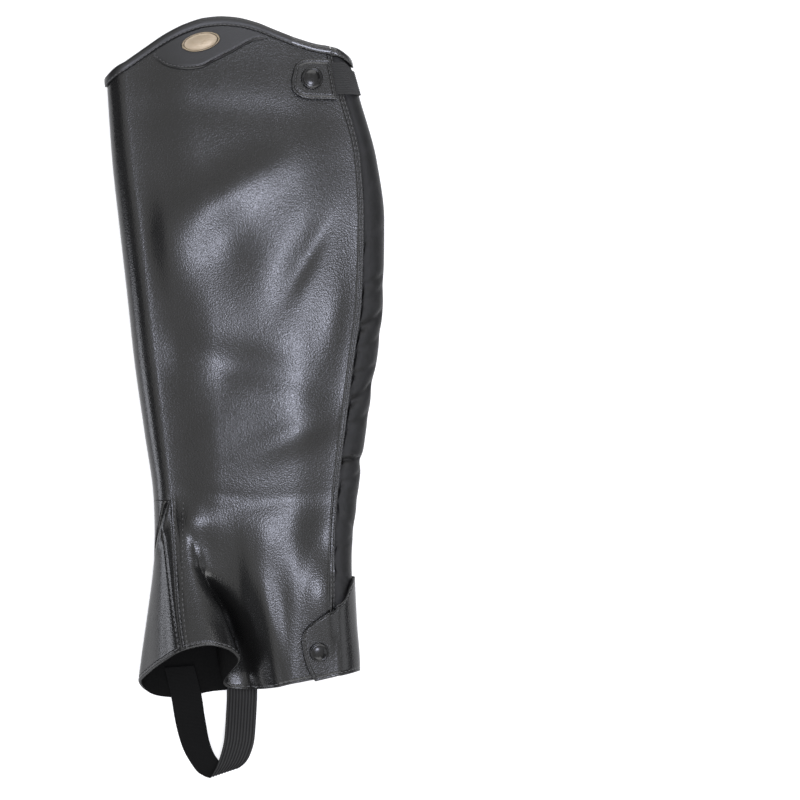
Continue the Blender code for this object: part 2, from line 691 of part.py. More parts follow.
def strip_round_calf(name, edges, free_end, over, thickness, finish, near_stations, rows):
    """A strip from the far leather's edge, round the calf and over the near leather.

    Edges gives the heights up the leg of its two edges from X, free_end the X of its end from the share
    across it, and over its height over the leather."""
    shares = np.linspace(0, 1, rows + 1)
    turn, share = grid(calf_turns(FAR_EDGE_TURN, 1), shares)
    middle = np.mean(edges(np.float64(CALF_HEM_X), False))
    low, high = edges(back_base(turn, middle + 0 * turn)[..., 0], turn < 1.5)
    y = low + (high - low) * share
    lift = GAP + (step_off(back_base(turn, y)[..., 0], y, over) - GAP) * ramp(turn, 1.5, 2)
    calf = [on_back(turn, y, lift + depth) for depth in (thickness, 0)]
    step, share = grid(np.linspace(0, 1, near_stations + 1)[1:], shares)
    y = np.full(step.shape, middle)
    for _ in range(SETTLING_STEPS):
        start = section_at(y)["back"] - section_at(y)["back_roll"]
        x = start + (free_end(share) - start) * step
        low, high = edges(x, False)
        y = low + (high - low) * share
    lift = step_off(x, y, over)
    near = [on_near(x, y, lift + depth) for depth in (thickness, 0)]
    wall(name, np.concatenate([calf[0], near[0]]), np.concatenate([calf[1], near[1]]), finish)


def build_top_band(elastic):
    """The elastic band that carries the top tab, from the far side and round the calf."""

    def edges(x, far_side):
        return BAND_LOW + 0 * x, np.minimum(BAND_HIGH, top_edge(x) - BINDING_WIDTH - BAND_BINDING_GAP)

    def free_end(share):
        return BAND_END_X + 0 * share

    strip_round_calf("top_band", edges, free_end, GAP, ELASTIC, elastic, BAND_STATIONS, BAND_ROWS)


def build_bottom_tab(leather):
    """The leather fastening at the hem, cut in one with the far side and brought round the calf."""
    calf = BOTTOM_TAB_EDGE[-1]

    def edges(x, far_side):
        far_high = calf.y + BOTTOM_TAB_FAR_RISE * (1 - x / calf.x)
        return calf_hem(x), np.where(far_side, far_high, read(BOTTOM_TAB_EDGE, "x", "y", x))

    def free_end(share):
        return read(BOTTOM_TAB_END, "share", "x", share)

    strip_round_calf(
        "bottom_tab", edges, free_end, TAB_STAND_OFF, TAB_LEATHER, leather, TAB_STATIONS, TAB_ROWS,
    )


def build_snap(place, centre, radius, tab_height, metal):
    """A press stud: a domed cap on its tab, and under the tab the socket that stands on the leather."""

    def on_tab(x, y):
        return tab_height(x, y) + TAB_LEATHER + GAP

    size = (2 * radius, 2 * radius)
    stud(place + "_snap", centre, size, 0.0, SNAP_RINGS, on_tab, metal, SNAP_SIDES)
    under_tab = float(tab_height(np.float64(centre[0]), np.float64(centre[1])))
    rings = (Ring(1.0, 0.0), Ring(1.0, under_tab - ON_LEATHER - SOCKET_GAP))
    size = (2 * SOCKET_RADIUS, 2 * SOCKET_RADIUS)
    stud(place + "_socket", centre, size, 0.0, rings, level_foot(ON_LEATHER), metal, SOCKET_SIDES)


def build_snaps(metal):
    """The press studs of the two fastenings."""

    def top_tab_height(x, y):
        return ON_LEATHER + TOP_TAB_STAND_OFF + 0 * x

    def bottom_tab_height(x, y):
        return step_off(x, y, TAB_STAND_OFF)

    build_snap("top", (TOP_SNAP_X, TOP_SNAP_Y), TOP_SNAP_RADIUS, top_tab_height, metal)
    build_snap("bottom", (BOTTOM_SNAP_X, BOTTOM_SNAP_Y), BOTTOM_SNAP_RADIUS, bottom_tab_height, metal)


def build_under_strap(elastic):
    """The elastic strap: a flat section carried along its centreline, turned to lie as it falls."""
    key = np.arange(len(STRAP), dtype=float)
    at = np.linspace(0, len(STRAP) - 1, STRAP_STATIONS)
    centre = np.stack([curve(key, column_of(STRAP, name), at) for name in ("x", "y", "z")], -1)
    turn = np.radians(curve(key, column_of(STRAP, "turn"), at))
    tilt = np.radians(curve(key, column_of(STRAP, "tilt"), at))
    side = np.stack([np.cos(turn) * np.cos(tilt), np.sin(turn) * np.cos(tilt), np.sin(tilt)], -1)
    normal = np.cross(side, np.gradient(centre, axis=0))
    normal /= np.linalg.norm(normal, axis=-1, keepdims=True)
    half, thick = STRAP_WIDTH / 2, ELASTIC / 2
    corners = ((-half, thick), (-half, -thick), (0, -thick), (half, -thick), (half, thick), (0, thick))
    rings = np.stack([centre + side * u + normal * w for u, w in corners], 1)
    swept("under_strap", rings, elastic)


def stand_on_origin():
    """Move everything together, so that the origin is under the middle of the half chap."""
    pieces = [piece for piece in bpy.data.objects if piece.type == "MESH"]
    points = np.array([vertex.co[:] for piece in pieces for vertex in piece.data.vertices])
    low, high = points.min(0), points.max(0)
    shift = Matrix.Translation((-(low[0] + high[0]) / 2, -(low[1] + high[1]) / 2, -low[2]))
    for piece in pieces:
        piece.data.transform(shift)


def build():
    for old in list(bpy.data.objects):
        bpy.data.objects.remove(old, do_unlink=True)
    leather = material("black_leather", (0.035, 0.035, 0.038), 0.42)
    trim = material("black_trim_leather", (0.03, 0.03, 0.031), 0.5)
    stretch = material("black_stretch_cloth", (0.016, 0.016, 0.018), 0.75)
    elastic = material("black_elastic", (0.02, 0.02, 0.021), 0.8)
    snap = material("black_snap_enamel", (0.02, 0.02, 0.022), 0.25, 0.6)
    metal = material("pale_gold_metal", (0.72, 0.64, 0.47), 0.35, 1.0)
    build_main_panel(leather)
    build_ankle_gusset(leather)
    build_stretch_panel(stretch)
    build_top_binding(trim)
    build_back_binding(trim)
    build_cap_panel(trim)
    build_badge(metal)
    build_top_tab(leather)
    build_top_band(elastic)
    build_bottom_tab(leather)
    build_snaps(snap)
    build_under_strap(elastic)
    stand_on_origin()


build()
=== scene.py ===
"""The looks of a leather half chap that lies on its side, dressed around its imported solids.

Every cloth piece lies at its own height above one drawn surface, the tube of the leather's lining, as its
solid does. Lengths are in millimetres until a mesh is written. X runs from the shin to the calf, Y up the leg
and Z up from the surface that the half chap lies on.
"""

import math
from collections import namedtuple

import bpy
import numpy as np
from bpy.props import FloatProperty, FloatVectorProperty, PointerProperty
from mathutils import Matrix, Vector


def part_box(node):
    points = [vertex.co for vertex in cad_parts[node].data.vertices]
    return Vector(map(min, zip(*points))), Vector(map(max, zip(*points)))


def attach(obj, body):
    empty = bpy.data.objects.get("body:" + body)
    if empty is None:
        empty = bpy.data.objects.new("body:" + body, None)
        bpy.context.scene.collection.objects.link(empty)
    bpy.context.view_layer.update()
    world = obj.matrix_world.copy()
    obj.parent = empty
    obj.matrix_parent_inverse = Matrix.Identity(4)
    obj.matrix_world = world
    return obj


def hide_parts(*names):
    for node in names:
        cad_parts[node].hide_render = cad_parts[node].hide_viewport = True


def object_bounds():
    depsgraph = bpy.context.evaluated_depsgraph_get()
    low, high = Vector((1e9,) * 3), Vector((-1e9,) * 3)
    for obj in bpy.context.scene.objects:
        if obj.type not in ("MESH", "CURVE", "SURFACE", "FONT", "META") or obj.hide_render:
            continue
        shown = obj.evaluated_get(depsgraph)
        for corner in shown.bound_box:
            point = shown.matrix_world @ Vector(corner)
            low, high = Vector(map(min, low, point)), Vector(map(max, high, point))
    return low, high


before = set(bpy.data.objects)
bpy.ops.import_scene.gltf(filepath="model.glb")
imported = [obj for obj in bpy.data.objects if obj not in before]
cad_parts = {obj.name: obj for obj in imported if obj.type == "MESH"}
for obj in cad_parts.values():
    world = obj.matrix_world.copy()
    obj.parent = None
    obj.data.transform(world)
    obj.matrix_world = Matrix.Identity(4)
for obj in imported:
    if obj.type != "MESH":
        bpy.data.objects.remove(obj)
CAD_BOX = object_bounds()

bl_info = {
    "name": "Leather Half Chap",
    "version": (1, 0, 0),
    "blender": (4, 5, 0),
    "location": "3D View > Sidebar > Half Chap",
    "description": "Dresses a leather half chap with grain, folds, stitching, ribbed elastic and metal",
    "category": "Object",
}

MM = 0.001

# Thickness of each material and the gap that parted pieces keep, as in the solids
GAP = 0.3
LEATHER = 2.0
LINING_TO_BASE = 0.3
STRETCH_CLOTH = 1.2
TRIM_LEATHER = 1.3
TAB_LEATHER = 1.7
ELASTIC = 1.2

# Heights above the drawn surface
LEATHER_OUT = LINING_TO_BASE + LEATHER
ON_LEATHER = LEATHER_OUT + GAP

# The tube lies with its far layer flat on the floor, lifted by its bound edge at the top
FLOOR_LAYER = LEATHER_OUT
BINDING_LIFT = GAP + TRIM_LEATHER
EDGE_SHARE = 0.8
UNDER_ROLL = 8.0
CROWN_POWER, CROWN_SHOULDER, CROWN_FLAT = 1.4, 0.3, 0.6

# Sections of the tube from the hem to the top
Section = namedtuple("Section", "y front back seam height roll back_roll")
SECTIONS = (
    Section(-190, -61.4, 71.0, 56.5, 23.0, 9.1, 11.0),
    Section(-165, -60.2, 70.3, 56.0, 24.0, 9.1, 11.0),
    Section(-140, -58.6, 68.4, 55.4, 25.0, 9.1, 10.6),
    Section(-102, -56.8, 67.0, 56.2, 26.0, 9.1, 9.6),
    Section(-64, -58.0, 70.6, 58.2, 26.0, 9.1, 11.0),
    Section(-20, -64.0, 76.2, 63.0, 27.0, 11.0, 12.0),
    Section(24, -70.2, 83.0, 68.6, 28.0, 12.0, 13.0),
    Section(62, -74.3, 86.9, 73.4, 28.0, 12.0, 12.2),
    Section(112, -80.0, 87.6, 74.8, 27.0, 12.0, 11.5),
    Section(150, -84.2, 82.8, 72.6, 25.0, 11.0, 9.0),
    Section(190, -87.0, 71.8, 62.6, 22.5, 10.0, 8.2),
    Section(215, -88.3, 64.8, 55.0, 20.5, 10.0, 8.2),
    Section(242, -89.5, 58.5, 49.5, 19.0, 10.0, 7.8),
)

# The top edge of the cloth
TopEdge = namedtuple("TopEdge", "x y")
TOP_EDGE = (
    TopEdge(-88, 197),
    TopEdge(-81, 206.5),
    TopEdge(-75, 210.5),
    TopEdge(-62, 219.5),
    TopEdge(-50, 227.5),
    TopEdge(-37, 234),
    TopEdge(-25, 237.6),
    TopEdge(-15, 238.5),
    TopEdge(-6, 237.9),
    TopEdge(7, 234.8),
    TopEdge(20, 229.6),
    TopEdge(32, 225),
    TopEdge(45, 221.3),
    TopEdge(57, 219.2),
    TopEdge(63, 215.4),
    TopEdge(68, 209),
)

# Where the leather parts at the ankle, and the hem, as in the solids
ANKLE_Y = -64.0
RELAX_Y = 70.0
FLARE_POWER = 1.45
GUSSET_FLARE_POWER = 2.1
RIDGE_FLARE = 0.7
Hem = namedtuple("Hem", "column x y z share")
HEM = (
    Hem(0.00, 56.5, -175.0, 17.0, 0.00),
    Hem(0.10, 44.7, -177.2, 17.5, 0.13),
    Hem(0.20, 33.4, -179.8, 18.5, 0.27),
    Hem(0.29, 22.0, -181.6, 19.5, 0.42),
    Hem(0.36, 14.0, -182.8, 14.5, 0.54),
    Hem(0.42, 7.6, -183.5, 8.0, 0.63),
    Hem(0.50, -2.5, -184.0, 5.6, 0.72),
    Hem(0.57, -10.7, -183.2, 6.6, 0.785),
    Hem(0.62, -14.6, -179.5, 11.0, 0.825),
    Hem(0.68, -11.2, -172.0, 18.5, 0.855),
    Hem(0.74, -7.6, -164.4, 26.0, 0.88),
    Hem(0.81, -11.0, -157.8, 31.5, 0.905),
    Hem(0.89, -22.0, -154.9, 33.5, 0.94),
    Hem(1.00, -37.8, -158.1, 33.0, 1.0),
    Hem(1.18, -50.0, -165.1, 26.5, 1.0),
    Hem(1.34, -59.6, -172.4, 17.0, 1.0),
    Hem(1.50, -65.6, -179.0, 9.2, 1.0),
    Hem(1.75, -62.5, -185.2, 3.4, 1.0),
    Hem(2.00, -54.5, -188.6, FLOOR_LAYER, 1.0),
    Hem(2.15, -40.3, -189.6, FLOOR_LAYER, 1.0),
    Hem(2.35, -22.0, -185.6, FLOOR_LAYER, 1.0),
    Hem(2.65, 14.0, -182.8, FLOOR_LAYER, 1.0),
    Hem(3.00, 56.5, -175.6, FLOOR_LAYER, 1.0),
)
HEM_STILL, HEM_FREE = 0.16, 0.30
CALF_HEM_X, CALF_HEM_Y, CALF_HEM_SLOPE = 56.0, -175.0, 0.22

# Soft troughs, and hills where the depth is negative, in the upper layer of leather: where their middle is,
# the angle of their line, how far they reach along and across it, and their depth
Crease = namedtuple("Crease", "x y angle length width depth")
CREASES = (
    Crease(-14, 181, -4, 60, 10, 0.5),
    Crease(-2, 136, 26, 44, 14, -1.6),
    Crease(-26, 112, 34, 34, 17, -1.8),
    Crease(-49, 98, 104, 32, 16, -1.25),
    Crease(-14, 96, 104, 34, 20, 1.9),
    Crease(40, 88, 62, 26, 5, 0.4),
    Crease(37, 88, 62, 30, 10, 1.5),
    Crease(56, 52, 80, 30, 9, -0.8),
    Crease(2, 20, -12, 52, 14, 1.6),
    Crease(-14, 12, 60, 30, 14, 0.8),
    Crease(28, 6, 95, 34, 20, -1.4),
    Crease(30, -24, 24, 34, 10, -1.3),
    Crease(-22, -60, -4, 26, 4, 0.3),
    Crease(12, -62, 9, 44, 12, 0.4),
    Crease(12, -66, 9, 42, 6.5, 0.5),
    Crease(-36, -78, 90, 10, 14, -1.8),
    Crease(8, -84, 4, 34, 8, -0.1),
    Crease(48, -86, 86, 20, 15, 1.8),
    Crease(12, -92, 86, 14, 12, -0.7),
    Crease(46, -118, 80, 16, 7, -0.6),
    Crease(51, -127, 89, 24, 15, -2.6),
    Crease(10, -138, 104, 29, 9, -2.6),
)

# The deep valley that runs up from the hem under the edge of the curled ridge: by height up the leg, where it
# is deepest, how far it reaches towards the back, the column at which the ridge bounds it, its depth, and how
# far the ridge's edge leans over it
Hollow = namedtuple("Hollow", "y x reach ridge depth lean")
HOLLOWS = (
    Hollow(-190, 4, 9, 0.62, 0.0, 0.0),
    Hollow(-176, 1, 8, 0.64, 3.2, 1.5),
    Hollow(-165, -1, 8, 0.66, 7.5, 3.5),
    Hollow(-150, -6, 7, 0.68, 12.0, 5.5),
    Hollow(-136, -11, 7, 0.71, 12.0, 5.5),
    Hollow(-125, -17, 7, 0.745, 7.5, 3.0),
    Hollow(-117, -23, 7, 0.77, 3.6, 0.6),
    Hollow(-110, -30, 6, 0.83, 1.8, 0.0),
    Hollow(-104, -38, 5, 0.88, 0.8, 0.0),
    Hollow(-98, -46, 4, 0.93, 0.0, 0.0),
)
LEAN_PAST_RIDGE, LEAN_REACH = 0.06, 0.06

# Troughs round the stretch panel, where the loose cloth gathers, and its finer wrinkles
Gather = namedtuple("Gather", "y slant width depth")
GATHERS = (
    Gather(74, 0.6, 7.0, 0.5),
    Gather(44, 0.8, 6.0, 0.6),
    Gather(13, 0.9, 8.5, 1.3),
    Gather(-8, 0.7, 5.0, 0.4),
    Gather(-40, -0.1, 4.5, 1.5),
    Gather(-62, 0.5, 5.0, 0.4),
    Gather(-84, -0.6, 6.0, 0.4),
)
WRINKLES = (
    Gather(100, -2.0, 3.4, 0.5),
    Gather(70, -2.2, 2.6, 1.0),
    Gather(61, -2.6, 2.2, 0.7),
    Gather(44, -3.0, 3.0, 1.6),
    Gather(30, -2.4, 2.4, 0.8),
    Gather(15, -1.6, 2.4, 1.0),
    Gather(-3, -3.2, 3.4, 2.0),
    Gather(-18, -2.6, 2.6, 0.8),
    Gather(-39, -0.3, 1.5, 1.6),
    Gather(-54, -2.0, 2.6, 0.9),
    Gather(-74, 1.6, 2.8, 0.8),
    Gather(-92, -1.2, 2.4, 0.6),
    Gather(-112, 1.4, 2.4, 0.6),
)

STRETCH_LAP = 6.0
FAR_EDGE_TURN = 0.65

# Bound top edge
BINDING_WIDTH = 4.6
BINDING_EASE, BINDING_LIP = 0.55, 0.45
BINDING_END = 0.004
GLOSSY_BINDING_X = 29.0

# The shaped panel under the binding at the knee, by its lower edge
CapEdge = namedtuple("CapEdge", "x y")
CAP_EDGE = (
    CapEdge(-58.5, 216.6),
    CapEdge(-54.0, 211.5),
    CapEdge(-45.6, 207.4),
    CapEdge(-36.0, 206.2),
    CapEdge(-27.2, 207.4),
    CapEdge(-18.5, 211.8),
    CapEdge(-6.3, 218.0),
    CapEdge(6.0, 224.4),
    CapEdge(15.0, 226.3),
)
CAP_END, CAP_THIN_END = 1.2, 0.5

# Oval metal plate on the cap panel
BADGE_X, BADGE_Y = -27.6, 223.6
BADGE_LONG, BADGE_SHORT = 24.6, 11.6
BADGE_TURN = math.radians(13)

# Outlines of the round metal pieces: the share of the radius and the height, from the foot to the middle
Ring = namedtuple("Ring", "share height")
BADGE_RINGS = (
    Ring(0.97, 0.0), Ring(1.0, 0.25), Ring(1.0, 0.9), Ring(0.985, 1.25), Ring(0.965, 1.42), Ring(0.94, 1.5),
    Ring(0.915, 1.47), Ring(0.895, 1.36), Ring(0.88, 1.12), Ring(0.865, 0.98), Ring(0.83, 0.95),
    Ring(0.6, 1.06), Ring(0.3, 1.14), Ring(0.06, 1.16),
)
SNAP_RINGS = (
    Ring(0.96, 0.0), Ring(1.0, 0.3), Ring(1.0, 0.7), Ring(0.985, 1.0), Ring(0.95, 1.25), Ring(0.9, 1.38),
    Ring(0.85, 1.36), Ring(0.81, 1.24), Ring(0.78, 1.12), Ring(0.74, 1.13), Ring(0.66, 1.3), Ring(0.52, 1.52),
    Ring(0.36, 1.68), Ring(0.18, 1.76), Ring(0.04, 1.78),
)
BADGE_SOLID_RINGS, BADGE_SOLID_SIDES = (Ring(0.97, 0.0), Ring(1.0, 0.3), Ring(0.985, 1.4)), 32

# How far strips round the calf clear the leather, and where past its edge they step down to the calf cloth
TAB_STAND_OFF, TOP_TAB_STAND_OFF = 1.6, 2.0
STEP_START, STEP_END = 1.0, 18.0

# Top tab with its elastic band
TOP_TAB_TIP_X, TOP_TAB_ROUND, TOP_TAB_TIP_HALF = 29.0, 11.0, 4.6
TOP_TAB_END_LOW, TOP_TAB_END_HIGH = 58.2, 53.4
TOP_TAB_LOW, TOP_TAB_HIGH, TOP_TAB_LEAN, TOP_TAB_SLANT = 187.8, 213.0, 0.02, 1.2
BAND_LOW, BAND_HIGH, BAND_END_X, BAND_UNDER_BINDING = 190.8, 211.0, 48.0, 1.4
TOP_SNAP_X, TOP_SNAP_Y, TOP_SNAP_RADIUS = 41.6, 200.2, 7.0

# Bottom tab
TabEdge = namedtuple("TabEdge", "x y")
BOTTOM_TAB_EDGE = (
    TabEdge(34.0, -146.4),
    TabEdge(37.0, -144.6),
    TabEdge(49.0, -135.8),
    TabEdge(55.0, -132.0),
    TabEdge(62.0, -127.4),
    TabEdge(66.4, -118.5),
    TabEdge(70.0, -112.5),
)
TabEnd = namedtuple("TabEnd", "share x")
BOTTOM_TAB_END = (
    TabEnd(0, 43.6),
    TabEnd(0.1, 41.2),
    TabEnd(0.3, 38.2),
    TabEnd(0.55, 36.2),
    TabEnd(0.8, 35.2),
    TabEnd(0.9, 35.7),
    TabEnd(0.96, 36.8),
    TabEnd(1, 39.0),
)
BOTTOM_TAB_FAR_RISE = 4.0
BOTTOM_SNAP_X, BOTTOM_SNAP_Y, BOTTOM_SNAP_RADIUS = 46.0, -159.1, 6.2

# The elastic strap that runs under the boot
Strap = namedtuple("Strap", "x y z turn tilt")
STRAP_WIDTH, STRAP_RIBS, BAND_RIBS = 19.2, 10, 14
RIB_PITCH = STRAP_WIDTH / STRAP_RIBS
STRAP = (
    Strap(-42.2, -170.0, 3.0, 4, 0),
    Strap(-39.6, -180.0, 3.0, 5, 0),
    Strap(-37.4, -190.0, 2.9, 6, 0),
    Strap(-35.6, -202.0, 2.0, 8, 5),
    Strap(-31.8, -218.3, 4.0, 11, 20),
    Strap(-27.1, -228.1, 6.0, 14, 28),
    Strap(-20.5, -235.0, 8.4, 17, 24),
    Strap(-14.8, -236.4, 10.6, 20, 12),
    Strap(-10.1, -232.5, 13.0, 12, 4),
    Strap(-6.3, -224.9, 14.4, 4, 0),
    Strap(-3.7, -214.2, 13.6, 0, 0),
    Strap(-2.8, -199.7, 9.2, 0, 0),
    Strap(-2.4, -188.0, 5.2, 0, 0),
    Strap(-2.4, -180.0, 4.2, 0, 0),
    Strap(-2.4, -170.0, 4.6, 0, 0),
)

# What is cut flat for each piece of cloth, in metres: the box it is cut from, and its own area
Cut = namedtuple("Cut", "width length area")

# Closer mesh steps beside a cut edge, and mesh density elsewhere
EDGE_STEPS = np.array(
    [0, 0.06, 0.16, 0.3, 0.5, 0.75, 1.0, 1.3, 1.65, 2.0, 2.35, 2.7, 3.0, 3.3, 3.7, 4.3, 5.2]
)
NEAR_WIDTH, FAR_WIDTH, FLARE_LENGTH = 118.0, 112.0, 108.0
NEAR_STEPS, ROLL_STEPS, FAR_STEPS = 86, 22, 22
FLARE_STEPS, LEG_STEPS = 58, 130
SHARP_ANGLE = 42

# Radius of a cut edge, and the groove in which a stitch row sinks
EDGE_ROUND = 0.7
GROOVE_WIDTH, GROOVE_DEPTH = 0.55, 0.32
TAB_GROOVE_WIDTH, TAB_GROOVE_DEPTH = 0.5, 0.3

# Stitch rows, by how far they run from the edge
FIRST_ROW, SECOND_ROW = 1.0, 3.0
HEM_ROW, TAB_ROW, CAP_ROW, BINDING_ROW = 1.9, 2.1, 1.7, 0.9
GUSSET_ROW_TOP, GUSSET_ROW_HEM = 6.2, 2.2

# Stitches of each kind of seam, as shares of the thread's pitch and thickness, and the mesh of one stitch
Stitch = namedtuple("Stitch", "pitch radius")
LEG_STITCH = Stitch(1.0, 0.5)
BINDING_STITCH = Stitch(0.85, 0.4)
CAP_STITCH = Stitch(0.75, 0.38)
TAB_STITCH = Stitch(0.8, 0.42)
STITCH_STATIONS, STITCH_SIDES = 5, 6

# Where the photograph's middle falls on the floor, and the height at which its scale holds, in metres
VIEW_X, VIEW_Y, VIEW_PLANE = 0.0982, -0.0014, 0.015

# Square area lights: where each stands, what it faces and its size, in metres, the setting that gives its
# power, and its colour
Lamp = namedtuple("Lamp", "name place aim size power colour")
MIDDLE = (0.0, 0.0, 0.0)
LAMPS = (
    Lamp("key_light", (0.3, 0.0, 3.6), MIDDLE, 0.65, "key_power", (0.8, 0.83, 1.0)),
    Lamp("overhead_light", (0.0, 0.0, 3.7), MIDDLE, 4.4, "overhead_power", (1.0, 0.99, 0.97)),
    Lamp("head_light", (0.3, 2.4, 1.9), MIDDLE, 1.8, "side_power", (1.0, 1.0, 1.0)),
    Lamp("foot_light", (0.3, -2.4, 1.9), MIDDLE, 1.8, "side_power", (1.0, 1.0, 1.0)),
    Lamp("back_light", (2.3, -0.1, 1.7), MIDDLE, 1.8, "back_power", (0.95, 0.96, 1.0)),
    Lamp("rim_light", (-0.78, -0.14, 0.26), (-0.06, -0.04, 0.0), 0.3, "rim_power", (0.9, 0.92, 1.0)),
)

# Step for slopes, and rounds for a height that depends on itself
STEP = 1e-3
SETTLING_STEPS = 6


def column_of(table, name):
    """One named column of a table as an array."""
    return np.array([getattr(row, name) for row in table], float)


def curve(knots, values, at):
    """Smooth curve through the knots that never overshoots them, by cubic pieces with harmonic slopes."""
    step = np.diff(knots)
    slope = np.diff(values) / step
    product = slope[1:] * slope[:-1]
    total = np.where(product > 0, slope[1:] + slope[:-1], 1.0)
    inner = np.where(product > 0, 2 * product / total, 0.0)
    tangent = np.concatenate([slope[:1], inner, slope[-1:]])
    at = np.clip(at, knots[0], knots[-1])
    piece = np.clip(np.searchsorted(knots, at, side="right") - 1, 0, len(step) - 1)
    width = step[piece]
    t = (at - knots[piece]) / width
    return (
        (2 * t**3 - 3 * t**2 + 1) * values[piece]
        + (t**3 - 2 * t**2 + t) * width * tangent[piece]
        + (3 * t**2 - 2 * t**3) * values[piece + 1]
        + (t**3 - t**2) * width * tangent[piece + 1]
    )


def read(table, key, name, at):
    """A table's named column as a smooth function of its key column."""
    return curve(column_of(table, key), column_of(table, name), at)


def ramp(value, start, end):
    """0 before start, 1 after end, and smooth between."""
    t = np.clip((value - start) / (end - start), 0, 1)
    return t * t * (3 - 2 * t)


def section_at(y):
    """Sizes of the drawn tube at a height up the leg."""
    front = read(SECTIONS, "y", "front", y) + LEATHER_OUT
    top = read(SECTIONS, "y", "height", y) - LEATHER_OUT
    edge = FLOOR_LAYER + EDGE_SHARE * (top - FLOOR_LAYER)
    return {
        "front": front,
        "back": read(SECTIONS, "y", "back", y),
        "seam": read(SECTIONS, "y", "seam", y),
        "roll": read(SECTIONS, "y", "roll", y),
        "back_roll": read(SECTIONS, "y", "back_roll", y),
        "top": top,
        "edge": edge,
        "middle": (FLOOR_LAYER + edge) / 2,
        "rise": (edge - FLOOR_LAYER) / 2,
    }


def creases(x, y):
    """How far the troughs and hills lower the upper layer: a bell across each one and another along it."""
    sunk = np.zeros(np.broadcast(x, y).shape)
    for crease in CREASES:
        along_x, along_y = math.cos(math.radians(crease.angle)), math.sin(math.radians(crease.angle))
        along = (x - crease.x) * along_x + (y - crease.y) * along_y
        across = (y - crease.y) * along_x - (x - crease.x) * along_y
        sunk += crease.depth * np.exp(-((across / crease.width) ** 2) - (along / crease.length) ** 2)
    return sunk


def hollow(column, x, y):
    """Depth of the valley at the hem: a wall at the ridge's column and half a bell from there to the back."""
    past = np.maximum(x - read(HOLLOWS, "y", "x", y), 0) / read(HOLLOWS, "y", "reach", y)
    inside = ramp(read(HOLLOWS, "y", "ridge", y) - column, -0.02, 0.07)
    return read(HOLLOWS, "y", "depth", y) * np.exp(-(past**2)) * inside


def near_height(x, y):
    """Height of the drawn surface under the upper layer: a low arch that rolls over at both sides."""
    tube = section_at(y)
    inside_front, inside_back = tube["front"] + tube["roll"], tube["back"] - tube["back_roll"]
    front_turn = np.clip((inside_front - x) / tube["roll"], 0, 1)
    back_turn = np.clip((x - inside_back) / tube["back_roll"], 0, 1)
    turn = np.maximum(front_turn, back_turn)
    across = np.clip((x - inside_front) / (inside_back - inside_front), 0, 1)
    crown = np.sin(math.pi * across) ** CROWN_POWER
    flat = ramp(across, 0, CROWN_SHOULDER) * ramp(1 - across, 0, CROWN_SHOULDER)
    crown = crown + (flat - crown) * CROWN_FLAT
    return (
        tube["middle"]
        + tube["rise"] * np.sqrt(1 - turn**2)
        + (tube["top"] - tube["edge"]) * crown
        - creases(x, y) * (1 - turn) * ramp(across, 0, 0.12) * ramp(1 - across, 0, 0.06)
    )


def top_edge(x):
    """Height up the leg of the cloth's top edge."""
    return read(TOP_EDGE, "x", "y", x)


def far_height(x, y):
    """Height of the drawn surface over the far layer, which the binding lifts off the floor at the top."""
    return FLOOR_LAYER + BINDING_LIFT * (1 - ramp(top_edge(x) - y, BINDING_WIDTH + 2, BINDING_WIDTH + 20))


def tube_column(column, y):
    """X and Z of a column of the leather's drawn surface, at a height up the leg."""
    tube = section_at(y)
    start, end = tube["front"] + tube["roll"], tube["front"] + UNDER_ROLL
    pull = 1 - ramp(y, ANKLE_Y, RELAX_Y)
    even = np.clip(column, 0, 1)
    share = even + pull * (read(HEM, "column", "share", even) - even)
    near_x = tube["seam"] + (start - tube["seam"]) * share
    angle = math.pi * np.clip(column - 1, 0, 1)
    reach = np.where(angle < math.pi / 2, tube["roll"], UNDER_ROLL)
    roll_x = tube["front"] + reach * (1 - np.sin(angle))
    far_x = end + (tube["seam"] - end) * np.clip(column - 2, 0, 1)
    x = np.where(column <= 1, near_x, np.where(column <= 2, roll_x, far_x))
    roll_z = tube["middle"] + tube["rise"] * np.cos(angle)
    roll_z = roll_z + (far_height(roll_x, y) - FLOOR_LAYER) * (1 - np.cos(angle)) / 2
    z = np.where(column <= 1, near_height(near_x, y), np.where(column <= 2, roll_z, far_height(far_x, y)))
    return x, z


def column_top(column):
    """Height of the top edge on a column, found by stepping, because the column leans as it rises."""
    y = np.full(np.shape(column), float(BAND_HIGH))
    for _ in range(SETTLING_STEPS):
        y = top_edge(tube_column(column, y)[0])
    return y


def leather_base(column, level):
    """Drawn surface under the leather. Column runs 0 to 1 over the upper layer from the back seam, 1 to 2
    round the front and 2 to 3 under the far layer. Level 0 is the hem, 1 the ankle and 2 the top edge.

    Below the ankle each column swings from the tube to its own place on the flared hem, by a power of how far
    down it is. Beside the valley the columns lean over it by a bell."""
    down, up = np.clip(1 - level, 0, 1), np.clip(level - 1, 0, 1)
    hem_y = read(HEM, "column", "y", column)
    y = ANKLE_Y + up * (column_top(column) - ANKLE_Y) + down * (hem_y - ANKLE_Y)
    x, z = tube_column(column, y)
    loose = ramp(column, HEM_STILL, HEM_FREE) * ramp(3 - column, 0, 0.3)
    power = FLARE_POWER + (GUSSET_FLARE_POWER - FLARE_POWER) * ramp(column, 0.8, 1.3)
    power = power + RIDGE_FLARE * np.exp(-(((column - 0.74) / 0.11) ** 2))
    swing = down**power * loose
    x = x + swing * (read(HEM, "column", "x", column) - x)
    z = z + swing * (read(HEM, "column", "z", column) - z)
    z = z - hollow(column, x, y)
    past_ridge = (column - read(HOLLOWS, "y", "ridge", y) - LEAN_PAST_RIDGE) / LEAN_REACH
    x = x + read(HOLLOWS, "y", "lean", y) * np.exp(-(past_ridge**2))
    return np.stack([x, y, z], -1)


